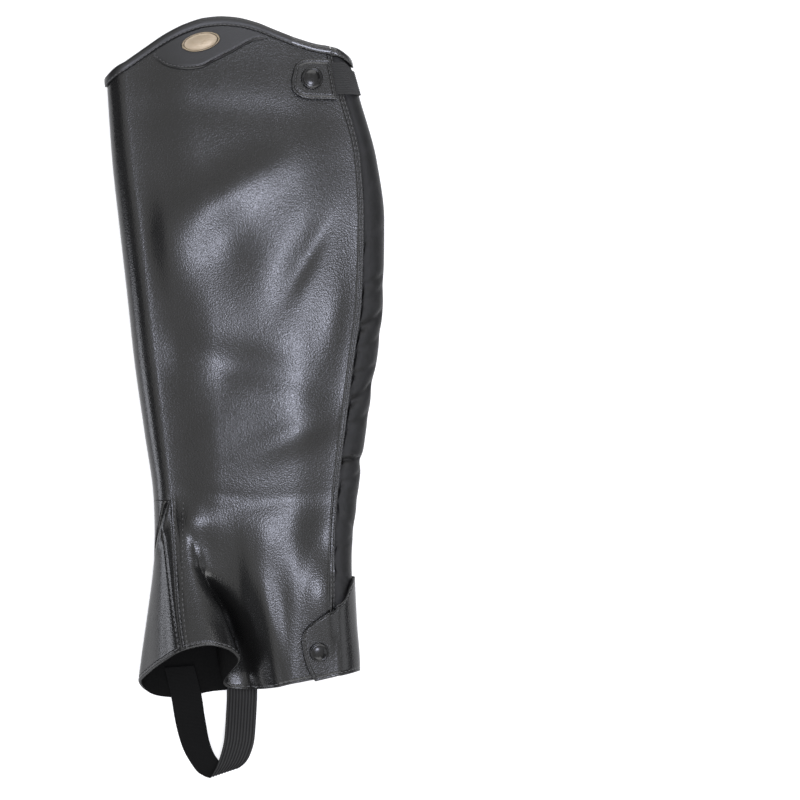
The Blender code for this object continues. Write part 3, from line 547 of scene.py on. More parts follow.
def legs_x(share, start, seam):
    """X along a flat leg of the calf cloth: to the leather's edge at half way, then on under the leather."""
    return start + (seam - start) * np.minimum(2 * share, 1) - STRETCH_LAP * np.maximum(2 * share - 1, 0)


def back_base(turn, y):
    """Drawn surface round the calf. Turn 0 to 1 is the far leg, 1 to 2 the roll and 2 to 3 the near leg."""
    tube = section_at(y)
    angle = math.pi * (np.clip(turn - 1, 0, 1) - 0.5)
    reach = np.where(angle < 0, UNDER_ROLL, tube["back_roll"])
    far, near = np.clip(1 - turn, 0, 1), np.clip(turn - 2, 0, 1)
    far_x = legs_x(far, tube["back"] - UNDER_ROLL, tube["seam"])
    roll_x = tube["back"] - reach * (1 - np.cos(angle))
    near_x = legs_x(near, tube["back"] - tube["back_roll"], tube["seam"])
    x = np.where(turn <= 1, far_x, np.where(turn <= 2, roll_x, near_x))
    roll_z = tube["middle"] + tube["rise"] * np.sin(angle)
    roll_z = roll_z + (far_height(roll_x, y) - FLOOR_LAYER) * (1 - np.sin(angle)) / 2
    z = np.where(turn <= 1, far_height(far_x, y), np.where(turn <= 2, roll_z, near_height(near_x, y)))
    return np.stack([x, y, z], -1)


def near_base(x, y):
    """Drawn surface of the upper layer at a place seen from above."""
    return np.stack([x, y, near_height(x, y)], -1)


def lifted(surface, first, second, low, high, height):
    """Points at a height above a surface of two parameters, along its outward normal."""
    (a_low, b_low), (a_high, b_high) = low, high
    a_plus, a_minus = np.minimum(first + STEP, a_high), np.maximum(first - STEP, a_low)
    b_plus, b_minus = np.minimum(second + STEP, b_high), np.maximum(second - STEP, b_low)
    along_first = surface(a_plus, second) - surface(a_minus, second)
    along_second = surface(first, b_plus) - surface(first, b_minus)
    normal = np.cross(along_second, along_first)
    normal /= np.linalg.norm(normal, axis=-1, keepdims=True)
    return surface(first, second) + normal * np.asarray(height, float)[..., None]


def on_leather(column, level, height):
    """Points above the leather's drawn surface."""
    return lifted(leather_base, column, level, (0, 0), (3, 2), height + 0 * column)


def on_back(turn, y, height):
    """Points above the drawn surface round the calf."""
    return lifted(back_base, turn, y, (0, -400), (3, 400), height + 0 * turn)


def on_near(x, y, height):
    """Points above the upper layer. X is passed negated, so that the normal points up."""

    def flipped(minus_x, up):
        return near_base(-minus_x, up)

    return lifted(flipped, -x, y, (-400, -400), (400, 400), height + 0 * x)


def rounded_stud(centre, size, turn, rings, foot, sides):
    """Rings of a round or oval piece on the upper layer: shares of its size at heights over its foot."""
    angle = np.linspace(0, 2 * math.pi, sides, endpoint=False)
    share, height = column_of(rings, "share")[:, None], column_of(rings, "height")[:, None]
    u, v = share * size[0] / 2 * np.cos(angle), share * size[1] / 2 * np.sin(angle)
    x = centre[0] + u * math.cos(turn) - v * math.sin(turn)
    y = centre[1] + u * math.sin(turn) + v * math.cos(turn)
    return on_near(x, y, foot(x, y) + height)


def badge_rings(rings, sides):
    """The oval plate on the cap panel, from rings of its outline."""

    def on_cap(x, y):
        return ON_LEATHER + TRIM_LEATHER + GAP

    return rounded_stud((BADGE_X, BADGE_Y), (BADGE_LONG, BADGE_SHORT), BADGE_TURN, rings, on_cap, sides)


def frame_shift():
    """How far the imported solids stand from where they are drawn: the middle of the badge's box in each."""
    drawn = badge_rings(BADGE_SOLID_RINGS, BADGE_SOLID_SIDES).reshape(-1, 3)
    low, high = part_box("badge")
    middle = np.array((low + high) / 2) / MM - (drawn.min(0) + drawn.max(0)) / 2
    return np.array([middle[0], middle[1], 0.0])


SHIFT = frame_shift()


def rounded_drop(distance, radius):
    """How far a face drops towards a cut edge: a quarter round of that radius."""
    out = np.clip(1 - distance / radius, 0, 1)
    return radius * (1 - np.sqrt(1 - out**2))


def groove(distance, middle, width, depth):
    """A trough of bell section at a distance from an edge."""
    return depth * np.exp(-(((distance - middle) / width) ** 2))


def grid(first, second):
    """Two parameters as matching grids, the first down the rows and the second along them."""
    return np.meshgrid(first, second, indexing="ij")


def from_edge(steps, size):
    """The closer steps beside a cut edge, as shares of the piece's size."""
    return EDGE_STEPS[: steps or None] / size


def with_close_ends(start, end, count, first, last, size):
    """Even parameters from start to end, with a cut edge's closer steps at either end that asks for them."""
    head, tail = start + from_edge(first, size), end - from_edge(last, size)[::-1]
    low = head[-1] if first else start
    high = tail[0] if last else end
    middle = np.linspace(low, high, count + 1)
    return np.concatenate([head[:-1] if first else [], middle, tail[1:] if last else []])


def piece_of(name, points, faces, finishes, parts=None, uv=None, worn=None):
    """A piece from points in millimetres: smooth, sharp only past an angle, and riding on the one body.

    Parts gives each face its finish, uv each point its place on the cloth and worn how rubbed it is."""
    mesh = bpy.data.meshes.new(name)
    mesh.from_pydata(((np.asarray(points, float).reshape(-1, 3) + SHIFT) * MM).tolist(), [], faces)
    mesh.update()
    for finish in finishes:
        mesh.materials.append(finish)
    if parts is not None:
        mesh.polygons.foreach_set("material_index", np.asarray(parts, np.int32))
    if uv is not None:
        corner = np.empty(len(mesh.loops), np.int32)
        mesh.loops.foreach_get("vertex_index", corner)
        layer = mesh.uv_layers.new(name="cloth")
        layer.data.foreach_set("uv", np.asarray(uv, np.float32).reshape(-1, 2)[corner].ravel())
    if worn is not None:
        layer = mesh.attributes.new("worn", "FLOAT", "POINT")
        layer.data.foreach_set("value", np.asarray(worn, np.float32).ravel())
    mesh.shade_smooth()
    mesh.set_sharp_from_angle(angle=math.radians(SHARP_ANGLE))
    piece = bpy.data.objects.new(name, mesh)
    bpy.context.scene.collection.objects.link(piece)
    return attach(piece, "root")


def shell(name, outer, inner, finishes, keep=None, uv=None, worn=None):
    """A closed wall between two grids: the outer face, the inner one turned over, and a strip along each edge
    that only one cell has. Its finishes are the outer face's, the inner face's and the cut edge's."""
    rows, columns = outer.shape[:2]
    index = np.arange(rows * columns).reshape(rows, columns)
    cells = np.stack([index[:-1, :-1], index[:-1, 1:], index[1:, 1:], index[1:, :-1]], -1)
    cells = cells.reshape(-1, 4) if keep is None else cells[keep]
    below = rows * columns
    start, end = cells.ravel(), np.roll(cells, -1, axis=1).ravel()
    rim = ~np.isin(start * below + end, end * below + start)
    a, b = start[rim], end[rim]
    sides = np.stack([b, a, a + below, b + below], 1)
    faces = np.concatenate([cells, cells[:, ::-1] + below, sides])
    used, faces = np.unique(faces, return_inverse=True)
    parts = np.repeat([0, 1, 2], [len(cells), len(cells), len(sides)])
    points = np.concatenate([outer.reshape(-1, 3), inner.reshape(-1, 3)])[used]
    if uv is not None:
        uv = np.concatenate([uv.reshape(-1, 2)] * 2)[used]
    rubbed = np.zeros(outer.shape[:2]) if worn is None else worn
    rubbed = np.concatenate([rubbed.ravel(), 0 * rubbed.ravel()])[used]
    return piece_of(name, points, faces.reshape(-1, 4).tolist(), finishes, parts, uv, rubbed)


def bar_faces(stations, corners, first=0):
    """Faces of a closed bar from rows of profile rings, with a cap at each end."""
    index = first + np.arange(stations * corners).reshape(stations, corners)
    after = np.roll(index, -1, axis=1)
    sides = np.stack([after[:-1], index[:-1], index[1:], after[1:]], -1).reshape(-1, 4).tolist()
    return [*sides, index[0].tolist(), index[-1][::-1].tolist()]


def swept(name, rings, finishes, parts=None, uv=None, worn=None):
    """A closed bar from a row of profile rings."""
    faces = bar_faces(*rings.shape[:2])
    return piece_of(name, rings, faces, finishes, parts, uv, worn)


def thread(face, height, pitch, share, radius):
    """Rings of a row of stitches. The path is face(height), and its normals point to face(height + 1).

    Each stitch is a short bar whose middle line rises as a half sine over the face and dips into it at its
    ends."""
    path = face(height)
    normal = face(height + 1) - path
    run = np.concatenate([[0], np.cumsum(np.linalg.norm(np.diff(path, axis=0), axis=1))])
    count = int(run[-1] / pitch)
    spacing = run[-1] / count
    along = np.linspace(0, 1, STITCH_STATIONS)
    at = (np.arange(count)[:, None] + (1 - share) / 2 + share * along) * spacing
    centre = np.stack([np.interp(at, run, path[:, k]) for k in range(3)], -1)
    up = np.stack([np.interp(at, run, normal[:, k]) for k in range(3)], -1)
    up /= np.linalg.norm(up, axis=-1, keepdims=True)
    side = np.cross(up, np.gradient(centre, axis=1))
    side /= np.linalg.norm(side, axis=-1, keepdims=True)
    rise = radius * (1.5 * np.sin(math.pi * along) - 0.9)
    thick = radius * (0.55 + 0.45 * np.sin(math.pi * along))
    angle = np.linspace(0, 2 * math.pi, STITCH_SIDES, endpoint=False)
    return (
        (centre + up * rise[:, None])[:, :, None]
        + side[:, :, None] * (thick[:, None] * np.cos(angle))[..., None]
        + up[:, :, None] * (thick[:, None] * np.sin(angle))[..., None]
    )


def seam(name, rows, height, stitch):
    """One piece of all the stitches of a seam, each row a function of the height at which they sit."""
    look = bpy.context.scene.half_chap_thread
    pitch, radius = look.pitch * stitch.pitch, look.thickness * stitch.radius
    stitches = np.concatenate([thread(row, height, pitch, look.share, radius) for row in rows])
    size = STITCH_STATIONS * STITCH_SIDES
    starts = range(0, len(stitches) * size, size)
    faces = [face for start in starts for face in bar_faces(STITCH_STATIONS, STITCH_SIDES, start)]
    return piece_of(name, stitches, faces, [sewing_thread()])


class Wire:
    """One output of a shader node. Arithmetic on it adds Math nodes."""

    def __init__(self, finish, socket):
        self.finish, self.socket = finish, socket

    def math(self, operation, *values):
        return self.finish.add("ShaderNodeMath", {"operation": operation}, dict(enumerate(values)))

    def __add__(self, other):
        return self.math("ADD", self, other)

    def __sub__(self, other):
        return self.math("SUBTRACT", self, other)

    def __mul__(self, other):
        return self.math("MULTIPLY", self, other)

    def __truediv__(self, other):
        return self.math("DIVIDE", self, other)

    def __pow__(self, other):
        return self.math("POWER", self, other)

    def __rsub__(self, other):
        return self.math("SUBTRACT", other, self)

    __radd__ = __add__
    __rmul__ = __mul__

    def sine(self):
        return self.math("SINE", self)

    def absolute(self):
        return self.math("ABSOLUTE", self)

    def between(self, low, high):
        """0 below low, 1 above high and smooth between."""
        inputs = {"Value": self, "From Min": low, "From Max": high}
        return self.finish.add("ShaderNodeMapRange", {"interpolation_type": "SMOOTHSTEP"}, inputs)


class Finish:
    """One material: a Principled shader with its fixed values, and the nodes that vary it over a surface."""

    def __init__(self, name, **fixed):
        self.material = bpy.data.materials.new(name)
        self.material.use_nodes = True
        self.tree = self.material.node_tree
        self.shader = self.tree.nodes["Principled BSDF"]
        for socket, value in fixed.items():
            self.shader.inputs[socket.replace("_", " ")].default_value = value

    def add(self, kind, settings=None, inputs=None, output=0):
        """A node of one kind: first its settings, then the values or links of its sockets."""
        node = self.tree.nodes.new(kind)
        for name, value in (settings or {}).items():
            setattr(node, name, value)
        for key, value in (inputs or {}).items():
            if isinstance(value, Wire):
                self.tree.links.new(value.socket, node.inputs[key])
            else:
                node.inputs[key].default_value = value
        return Wire(self, node.outputs[output])

    def feed(self, **wires):
        """Links wires to the shader's own sockets."""
        for socket, wire in wires.items():
            self.tree.links.new(wire.socket, self.shader.inputs[socket.replace("_", " ")])

    def place(self):
        return self.add("ShaderNodeTexCoord", output="Object")

    def cloth(self):
        """Width and length on the flat cloth, in metres."""
        uv = self.add("ShaderNodeUVMap", {"uv_map": "cloth"})
        return [self.add("ShaderNodeSeparateXYZ", None, {0: uv}, output=k) for k in (0, 1)]

    def stretched(self, x, y, z):
        """Object coordinates with each axis multiplied."""
        return self.add("ShaderNodeVectorMath", {"operation": "MULTIPLY"}, {0: self.place(), 1: (x, y, z)})

    def noise(self, scale, detail=2.0, roughness=0.5, place=None, distortion=0.0):
        inputs = {"Vector": place or self.place(), "Scale": scale, "Detail": detail, "Roughness": roughness}
        inputs["Distortion"] = distortion
        return self.add("ShaderNodeTexNoise", None, inputs)

    def cells(self, scale, place=None):
        """Distance to the nearest of scattered points: small pebbles."""
        return self.add("ShaderNodeTexVoronoi", None, {"Vector": place or self.place(), "Scale": scale})

    def worn(self):
        return self.add("ShaderNodeAttribute", {"attribute_name": "worn"}, output="Fac")

    def colours(self, share, first, second):
        """Two colours mixed by a share."""
        first, second = ((*c, 1.0) if isinstance(c, tuple) else c for c in (first, second))
        return self.add("ShaderNodeMix", {"data_type": "RGBA"}, {0: share, 6: first, 7: second}, output=2)

    def tones(self, share, base, dark, pale):
        """One colour made darker or paler by a share."""
        return self.colours(share, tuple(base * dark), tuple(base * pale))

    def bumps(self, height, depth):
        """Linked to Normal: a bump whose height of 1 stands for that depth, in millimetres."""
        bump = self.add("ShaderNodeBump", None, {"Height": height, "Distance": depth * MM})
        self.feed(Normal=bump)


def colour_of(group, name):
    """A colour setting as an array of three."""
    return np.array(getattr(getattr(bpy.context.scene, group), name))


def made_once(build):
    """Keeps the material that a function makes, so that pieces of one finish share it."""
    kept = {}

    def fetch(*key):
        if key not in kept:
            kept[key] = build(*key).material
        return kept[key]

    return fetch


@made_once
def grain_leather(name, depth, matt):
    """Smooth-grained black leather: pebbles about 1 mm wide, finer pores, slow changes of tone and gloss."""
    look = bpy.context.scene.half_chap_leather
    base = colour_of("half_chap_leather", "colour")
    finish = Finish(name, Specular_IOR_Level=0.5)
    patches = finish.noise(26, 3.0)
    fine = finish.noise(1300, 1.0)
    pebbles = finish.cells(1000 / look.grain_size)
    tone = finish.tones(patches.between(0.35, 0.68), base, 0.82, 1.18)
    worn = finish.worn()
    finish.feed(
        Base_Color=finish.colours(worn * 0.6, tone, tuple(base * 2.1)),
        Roughness=look.roughness + matt + (patches - 0.5) * 0.12 + (fine - 0.5) * 0.26 + worn * 0.05,
    )
    finish.bumps(pebbles * 0.7 + fine * 0.6, look.grain_depth * depth)
    return finish


@made_once
def lining_leather():
    """The flesh side: matt, fibrous and nearly black."""
    finish = Finish("lining_leather", Roughness=0.85, Specular_IOR_Level=0.08)
    fibre = finish.noise(900, 4.0, 0.7)
    base = colour_of("half_chap_leather", "lining")
    finish.feed(Base_Color=finish.tones(fibre.between(0.3, 0.75), base, 0.75, 1.3))
    finish.bumps(fibre + finish.noise(3000, 2.0) * 0.4, 0.08)
    return finish


@made_once
def cut_edge():
    """The painted edge of cut leather."""
    finish = Finish("cut_edge_leather")
    fibre = finish.noise(1400, 3.0, 0.6, finish.stretched(1, 1, 0.3))
    base = colour_of("half_chap_leather", "colour")
    finish.feed(
        Base_Color=finish.tones(fibre.between(0.4, 0.7), base, 0.7, 1.2),
        Roughness=0.5 + fibre * 0.2,
    )
    finish.bumps(fibre, 0.06)
    return finish


@made_once
def glossy_trim():
    """Crinkled glossy binding: small sharp ridges that catch the light one by one."""
    finish = Finish("glossy_trim_leather", Coat_Weight=0.5, Coat_Roughness=0.12)
    ridges = finish.noise(640, 3.0, 0.6, finish.stretched(1, 0.6, 1), 0.6)
    base = colour_of("half_chap_leather", "colour")
    finish.feed(
        Base_Color=finish.tones(ridges.between(0.4, 0.7), base, 0.6, 1.1),
        Roughness=0.2 + ridges * 0.2,
    )
    finish.bumps(ridges + finish.cells(800) * 0.5, 0.4)
    return finish


@made_once
def stretch_cloth():
    """Fine elastic knit: rows of stitches 0.7 mm apart on the cloth, matt with a faint sheen."""
    look = bpy.context.scene.half_chap_cloth
    finish = Finish("stretch_cloth", Specular_IOR_Level=0.36)
    across, along = finish.cloth()
    pitch = 2 * math.pi / (look.knit_pitch * MM)
    knit = (across * pitch + (along * pitch * 0.5).sine() * 0.9).sine() * 0.5 + (along * pitch).sine() * 0.5
    patches = finish.noise(110, 4.0, 0.6)
    base = colour_of("half_chap_cloth", "stretch")
    finish.feed(
        Base_Color=finish.tones(patches.between(0.4, 0.65), base, 0.6, 1.8),
        Roughness=0.36 + patches * 0.2 + knit * 0.04,
    )
    finish.bumps(knit * 0.35 + finish.noise(2600, 2.0) * 0.35 + finish.noise(420, 3.0) * 0.9, 0.12)
    return finish


@made_once
def woven_elastic(name, share, depth):
    """Elastic braid: fine cross threads on the ribs, matt black. Share is its tone, depth how far the grooves between
    its ribs are darkened as painted shade.
    """
    look = bpy.context.scene.half_chap_cloth
    finish = Finish(name, Specular_IOR_Level=0.3 * share)
    across, along = finish.cloth()
    pitch = 2 * math.pi / (look.weave_pitch * MM)
    weave = (along * pitch + (across * pitch * 0.5).sine() * 1.2).sine()
    fuzz = finish.noise(3200, 3.0, 0.7)
    base = colour_of("half_chap_cloth", "elastic") * share
    # Painted shade: the grooves between the ribs are darkened towards 0.12 of the colour, as far as depth.
    rib_groove_shade = (across * (2 * math.pi / (RIB_PITCH * MM)) + math.pi / 2).sine().between(-0.2, 0.9)
    thread_tone = finish.tones(weave * 0.35 + fuzz * 0.65, base, 0.7, 1.7)
    finish.feed(
        Base_Color=finish.colours(rib_groove_shade * depth, thread_tone, tuple(base * 0.12)),
        Roughness=0.72 + fuzz * 0.2,
    )
    finish.bumps(weave * 0.6 + fuzz * 0.6, 0.09)
    return finish


@made_once
def sewing_thread():
    """Bonded black thread, a little lighter than the leather."""
    finish = Finish("sewing_thread")
    ply = finish.noise(2400, 2.0)
    base = colour_of("half_chap_thread", "colour")
    finish.feed(
        Base_Color=finish.tones(ply.between(0.35, 0.7), base, 0.7, 1.3),
        Roughness=0.45 + ply * 0.2,
    )
    finish.bumps(ply, 0.05)
    return finish


@made_once
def snap_enamel():
    """Glossy black enamel, faintly clouded by handling."""
    finish = Finish("snap_enamel", Specular_IOR_Level=0.25, Coat_Weight=0.25, Coat_Roughness=0.12)
    cloud = finish.noise(420, 4.0, 0.65)
    base = colour_of("half_chap_metal", "enamel")
    finish.feed(
        Base_Color=finish.tones(cloud.between(0.35, 0.7), base, 0.8, 1.4),
        Roughness=0.22 + cloud.between(0.45, 0.8) * 0.18,
    )
    finish.bumps(cloud, 0.01)
    return finish


@made_once
def badge_metal():
    """Pale brushed metal: fine lines along the plate, duller and darker under its rim."""
    finish = Finish("badge_metal", Metallic=1.0)
    brushed = finish.noise(900, 3.0, 0.6, finish.stretched(0.12, 1.6, 1))
    stain = finish.noise(260, 4.0, 0.6)
    base = colour_of("half_chap_metal", "badge")
    worn = finish.worn()
    stained = tuple(base * np.array([0.78, 0.72, 0.62]))
    pale = finish.colours(stain.between(0.4, 0.75) * 0.5, tuple(base), stained)
    finish.feed(
        Base_Color=finish.colours(worn, pale, tuple(base * 0.35)),
        Roughness=0.28 + brushed * 0.16 + worn * 0.2,
    )
    finish.bumps(brushed + stain * 0.8, 0.05)
    return finish


def stand_for(piece, node):
    """A new piece stands for its solid, which is hidden."""
    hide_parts(node)
    return piece


def cloth_for(piece, slot, node, *sewn_on):
    """A piece of cloth that stands for its solid and lies as that does; what is sewn to it is not used."""
    stand_for(piece, node)


def stitched_relief(distance, rows, groove_width=GROOVE_WIDTH, depth=GROOVE_DEPTH):
    """How far a face lies under its full height: rounded at its cut edge, drawn in along each row."""
    sunk = rounded_drop(distance, EDGE_ROUND)
    for row in rows:
        sunk = sunk + groove(distance, row, groove_width, depth)
    return sunk


def rubbed_edge(distance):
    """How worn a face is beside its cut edge: 1 at the edge, none 0.6 mm in."""
    return 1 - ramp(distance, 0.05, 0.7)


def run_along(points, axis):
    """Distance along one axis of a grid of points, from its start."""
    steps = np.linalg.norm(np.diff(points, axis=axis), axis=-1)
    zero = np.zeros_like(np.take(steps, [0], axis=axis))
    return np.concatenate([zero, np.cumsum(steps, axis=axis)], axis=axis)


def leather_lines():
    """Columns and levels of the leather's mesh, closer beside its cut edges."""
    near = with_close_ends(0, 1, NEAR_STEPS, 0, 12, NEAR_WIDTH)
    near = np.concatenate([from_edge(0, NEAR_WIDTH)[:-1], near[near > EDGE_STEPS[-1] / NEAR_WIDTH]])
    roll = np.linspace(1, 2, ROLL_STEPS + 1)[1:]
    far = with_close_ends(2, 3, FAR_STEPS, 0, 6, FAR_WIDTH)[1:]
    flare = with_close_ends(0, 1, FLARE_STEPS, 15, 0, FLARE_LENGTH)
    return np.concatenate([near, roll, far]), flare, np.linspace(1, 2, LEG_STEPS + 1)[1:]


def leather_leg():
    """The leather that wraps the shin: its drawn surface raised by its thickness, with its edges."""
    columns, flare, leg = leather_lines()
    column, level = grid(columns, np.concatenate([flare, leg]))
    base = leather_base(column, level)
    tube = section_at(base[..., 1])
    from_near_seam = np.where(column < 1, tube["seam"] - base[..., 0], 99.0)
    from_far_seam = np.where(column > 2, tube["seam"] - base[..., 0], 99.0)
    from_hem = run_along(base, 1)
    run = run_along(base, 0)
    gusset_side = run[np.searchsorted(columns, 1.0)] - run
    from_gusset = np.where((column <= 1) & (level <= 1), gusset_side, 99.0)
    sunk = (
        stitched_relief(from_near_seam, (FIRST_ROW, SECOND_ROW))
        + rounded_drop(from_far_seam, EDGE_ROUND)
        + stitched_relief(from_hem, np.where(column < 2, HEM_ROW, 99.0)[None])
        + stitched_relief(from_gusset, (FIRST_ROW, SECOND_ROW))
    )
    sunk = np.minimum(sunk, 1.0)
    worn = np.maximum(rubbed_edge(np.minimum(from_near_seam, from_gusset)), rubbed_edge(from_hem))
    at_front = (columns[:-1, None] >= 1) & (columns[:-1, None] < 2)
    below_ankle = np.arange(len(flare) + len(leg) - 1) < len(flare) - 1
    keep = ~(at_front & below_ankle)
    return shell(
        "leg_leather",
        on_leather(column, level, LEATHER_OUT - sunk),
        on_leather(column, level, LINING_TO_BASE + 0 * column),
        [grain_leather("grain_leather", 1.0, 0.0), lining_leather(), cut_edge()],
        keep,
        worn=worn,
    )


def row_beside(edge, step, level, distance):
    """A stitch row at a distance from an edge column, towards the step, as a function of its height."""
    start = leather_base(0 * level + edge, level)
    wide = np.linalg.norm(leather_base(0 * level + edge + step, level) - start, axis=1) / step
    return lambda height: on_leather(edge + distance / wide, level, height)


def row_above_hem(column):
    """The stitch row along the hem, as a function of its height."""
    start = leather_base(column, 0 * column)
    tall = np.linalg.norm(leather_base(column, 0 * column + 0.02) - start, axis=1) / 0.02
    return lambda height: on_leather(column, HEM_ROW / tall, height)


def near_row(x, y):
    """A stitch row on the upper layer, as a function of its height."""
    return lambda height: on_near(x, y, height)


def leg_seams():
    """Stitch rows on the leg: two down the back seam, two down the gusset's seam and one along the hem."""
    back, front = np.linspace(0.03, 1.985, 500), np.linspace(0.03, 0.995, 260)
    rows = [row_beside(0, 0.02, back, distance) for distance in (FIRST_ROW, SECOND_ROW)]
    rows += [row_beside(1, -0.02, front, distance) for distance in (FIRST_ROW, SECOND_ROW)]
    rows.append(row_above_hem(np.linspace(0.16, 0.985, 320)))
    return seam("leg_seams", rows, LEATHER_OUT - GROOVE_DEPTH, LEG_STITCH)


def ankle_gusset():
    """The wedge at the front of the ankle, with the fold that runs from its head to the front edge."""
    columns = with_close_ends(1, 2, 70, 10, 6, 44.0)
    levels = with_close_ends(0, 1, 110, 14, 10, 112.0)
    column, level = grid(columns, levels)
    base = leather_base(column, level)
    around, along = run_along(base, 0), run_along(base, 1)
    sides = np.minimum(around, around[-1:] - around)
    ends = np.minimum(along, along[:, -1:] - along)
    row = GUSSET_ROW_TOP + (GUSSET_ROW_HEM - GUSSET_ROW_TOP) * ramp(1 - level, 0, 1)
    fold_column = 1.06 + 0.46 * (1 - level) / 0.36
    fold = np.exp(-(((column - fold_column) / 0.028) ** 2))
    fold = fold * ramp(level, 0.6, 0.7) * ramp(1.0 - level, 0, 0.03)
    swell = 0.7 * np.exp(-(((column - fold_column + 0.1) / 0.07) ** 2)) * ramp(level, 0.62, 0.8)
    sunk = rounded_drop(sides, EDGE_ROUND) + rounded_drop(ends, EDGE_ROUND)
    sunk = sunk + groove(along, HEM_ROW, GROOVE_WIDTH, GROOVE_DEPTH)
    sunk = sunk + groove(around, row, 0.55, 0.3) * ramp(0.86 - level, 0, 0.04)
    return shell(
        "gusset_leather",
        on_leather(column, level, LEATHER_OUT - np.minimum(sunk, 1.0) - 2.0 * fold + swell),
        on_leather(column, level, LINING_TO_BASE - 1.2 * fold),
        [grain_leather("grain_leather", 1.0, 0.0), lining_leather(), cut_edge()],
        worn=np.maximum(rubbed_edge(sides), rubbed_edge(ends)),
    )


def gusset_seams():
    """Stitch rows on the gusset: one beside its seam and one along its hem."""
    level = np.linspace(0.02, 0.84, 240)
    from_seam = GUSSET_ROW_TOP + (GUSSET_ROW_HEM - GUSSET_ROW_TOP) * ramp(1 - level, 0, 1)
    rows = [row_beside(1, 0.1, level, from_seam), row_above_hem(np.linspace(1.03, 1.9, 200))]
    return seam("gusset_seams", rows, LEATHER_OUT - TAB_GROOVE_DEPTH, LEG_STITCH)


def gathers(turn, y):
    """How far gathers and wrinkles sink the cloth: bells across slanting lines, none at the seams."""
    sunk = np.zeros(np.broadcast(turn, y).shape)
    for table, start, full in ((GATHERS, 0.9, 1.4), (WRINKLES, 1.48, 1.66)):
        for gather in table:
            line = gather.y + gather.slant * 8 * (turn - 2)
            bell = gather.depth * np.exp(-(((y - line) / gather.width) ** 2))
            sunk += bell * ramp(turn, start, full)
    return sunk * ramp(3 - turn, 0.4, 0.62)


def calf_hem(x):
    """Height of the hem round the calf."""
    return CALF_HEM_Y + (x - CALF_HEM_X) * CALF_HEM_SLOPE


def back_line(line, turn, first_guess):
    """Height at each station round the calf of an edge that is given from X, found by stepping."""
    y = np.full(np.shape(turn), float(first_guess))
    for _ in range(SETTLING_STEPS):
        y = line(back_base(turn, y)[..., 0])
    return y


def stretch_panel():
    """The elastic cloth down the calf, between the leather's two edges, with its gathers."""
    turns = np.concatenate([np.linspace(0, 1, 9), np.linspace(1, 2, 29)[1:], np.linspace(2, 3, 15)[1:]])
    turn, up = grid(turns, np.linspace(0, 1, 521))
    low, high = back_line(calf_hem, turn, CALF_HEM_Y), back_line(top_edge, turn, BAND_HIGH)
    y = low + (high - low) * up
    sunk = gathers(turn, y)
    outer = on_back(turn, y, -sunk)
    uv = np.stack([run_along(outer, 0), run_along(outer, 1)], -1) * MM
    cloth = stretch_cloth()
    return shell("calf_stretch", outer, on_back(turn, y, -sunk - STRETCH_CLOTH), [cloth] * 3, uv=uv)


def edge_frame(edge, below):
    """Outward normals and down directions along an edge, from points at two heights and a row below it."""
    base, raised = edge
    normal = raised - base
    normal /= np.linalg.norm(normal, axis=-1, keepdims=True)
    down = below - base
    down -= (down * normal).sum(-1, keepdims=True) * normal
    down /= np.linalg.norm(down, axis=-1, keepdims=True)
    return normal, down


def binding_profile(inside, outside):
    """Section of a strip folded over an edge, as pairs of height over the drawn surface and distance down.

    Its outer side is a smooth roll over the edge, and each leg's end is rounded."""
    lip, over, thick = BINDING_LIP, BINDING_LIP + TRIM_LEATHER, TRIM_LEATHER
    middle, half = (inside + outside) / 2, (outside - inside) / 2 + thick
    roll = [
        (middle - half * math.copysign(abs(math.cos(a)) ** 0.6, math.cos(a)), 1.2 - (over + 1.2) * math.sin(a) ** 0.6)
        for a in np.linspace(0, math.pi, 17)
    ]
    near_leg = [
        (outside + thick, BINDING_WIDTH - BINDING_ROW - 0.8),
        (outside + thick - 0.28, BINDING_WIDTH - BINDING_ROW),
        (outside + thick - 0.02, BINDING_WIDTH - BINDING_ROW + 0.5),
        (outside + thick - 0.25, BINDING_WIDTH - 0.1),
        (outside + thick - 0.6, BINDING_WIDTH),
        (outside, BINDING_WIDTH),
    ]
    inner = [(outside, -lip), (inside, -lip), (inside, BINDING_WIDTH), (inside - thick, BINDING_WIDTH)]
    return near_leg + inner + roll


def bound_edge(name, edge, below, inside, outside, finishes, gloss):
    """A strip folded over an edge: its profile carried along it. Gloss is 1 where the second finish shows."""
    normal, down = edge_frame(edge, below)
    rings = np.stack(
        [
            edge[0] + normal * (0 * inside + height)[:, None] + down * distance
            for height, distance in binding_profile(inside, outside)
        ],
        1,
    )
    stations, corners = rings.shape[:2]
    uv = np.stack([run_along(rings, 1), run_along(rings, 0)], -1) * MM
    parts = np.concatenate([np.repeat(gloss[:-1], corners), [gloss[0], gloss[-1]]])
    return swept(name, rings, finishes, parts, uv)


def top_binding_edge(count):
    """Columns along the top edge of the leather, closer on the near side and round the front."""
    near = np.linspace(BINDING_END, 1, count)
    return np.concatenate([near, np.linspace(1, 2, 30)[1:], np.linspace(2, 3 - BINDING_END, 60)[1:]])


def top_binding():
    """The binding on the leather's top edge, glossy and crinkled towards the back."""
    column = top_binding_edge(200)
    level = np.full(column.shape, 2.0)
    edge = (on_leather(column, level, 0), on_leather(column, level, 1))
    over_lap = 1 - ramp(column, 0.085, 0.14) * ramp(3 - column, 0.085, 0.14)
    inside = -over_lap * (STRETCH_CLOTH + BINDING_EASE)
    gloss = (edge[0][:, 0] > GLOSSY_BINDING_X).astype(int)
    return bound_edge(
        "top_binding_trim", edge, on_leather(column, level - 0.015, 0), inside, ON_LEATHER + 0 * column,
        [grain_leather("trim_leather", 0.6, 0.12), glossy_trim()], gloss,
    )


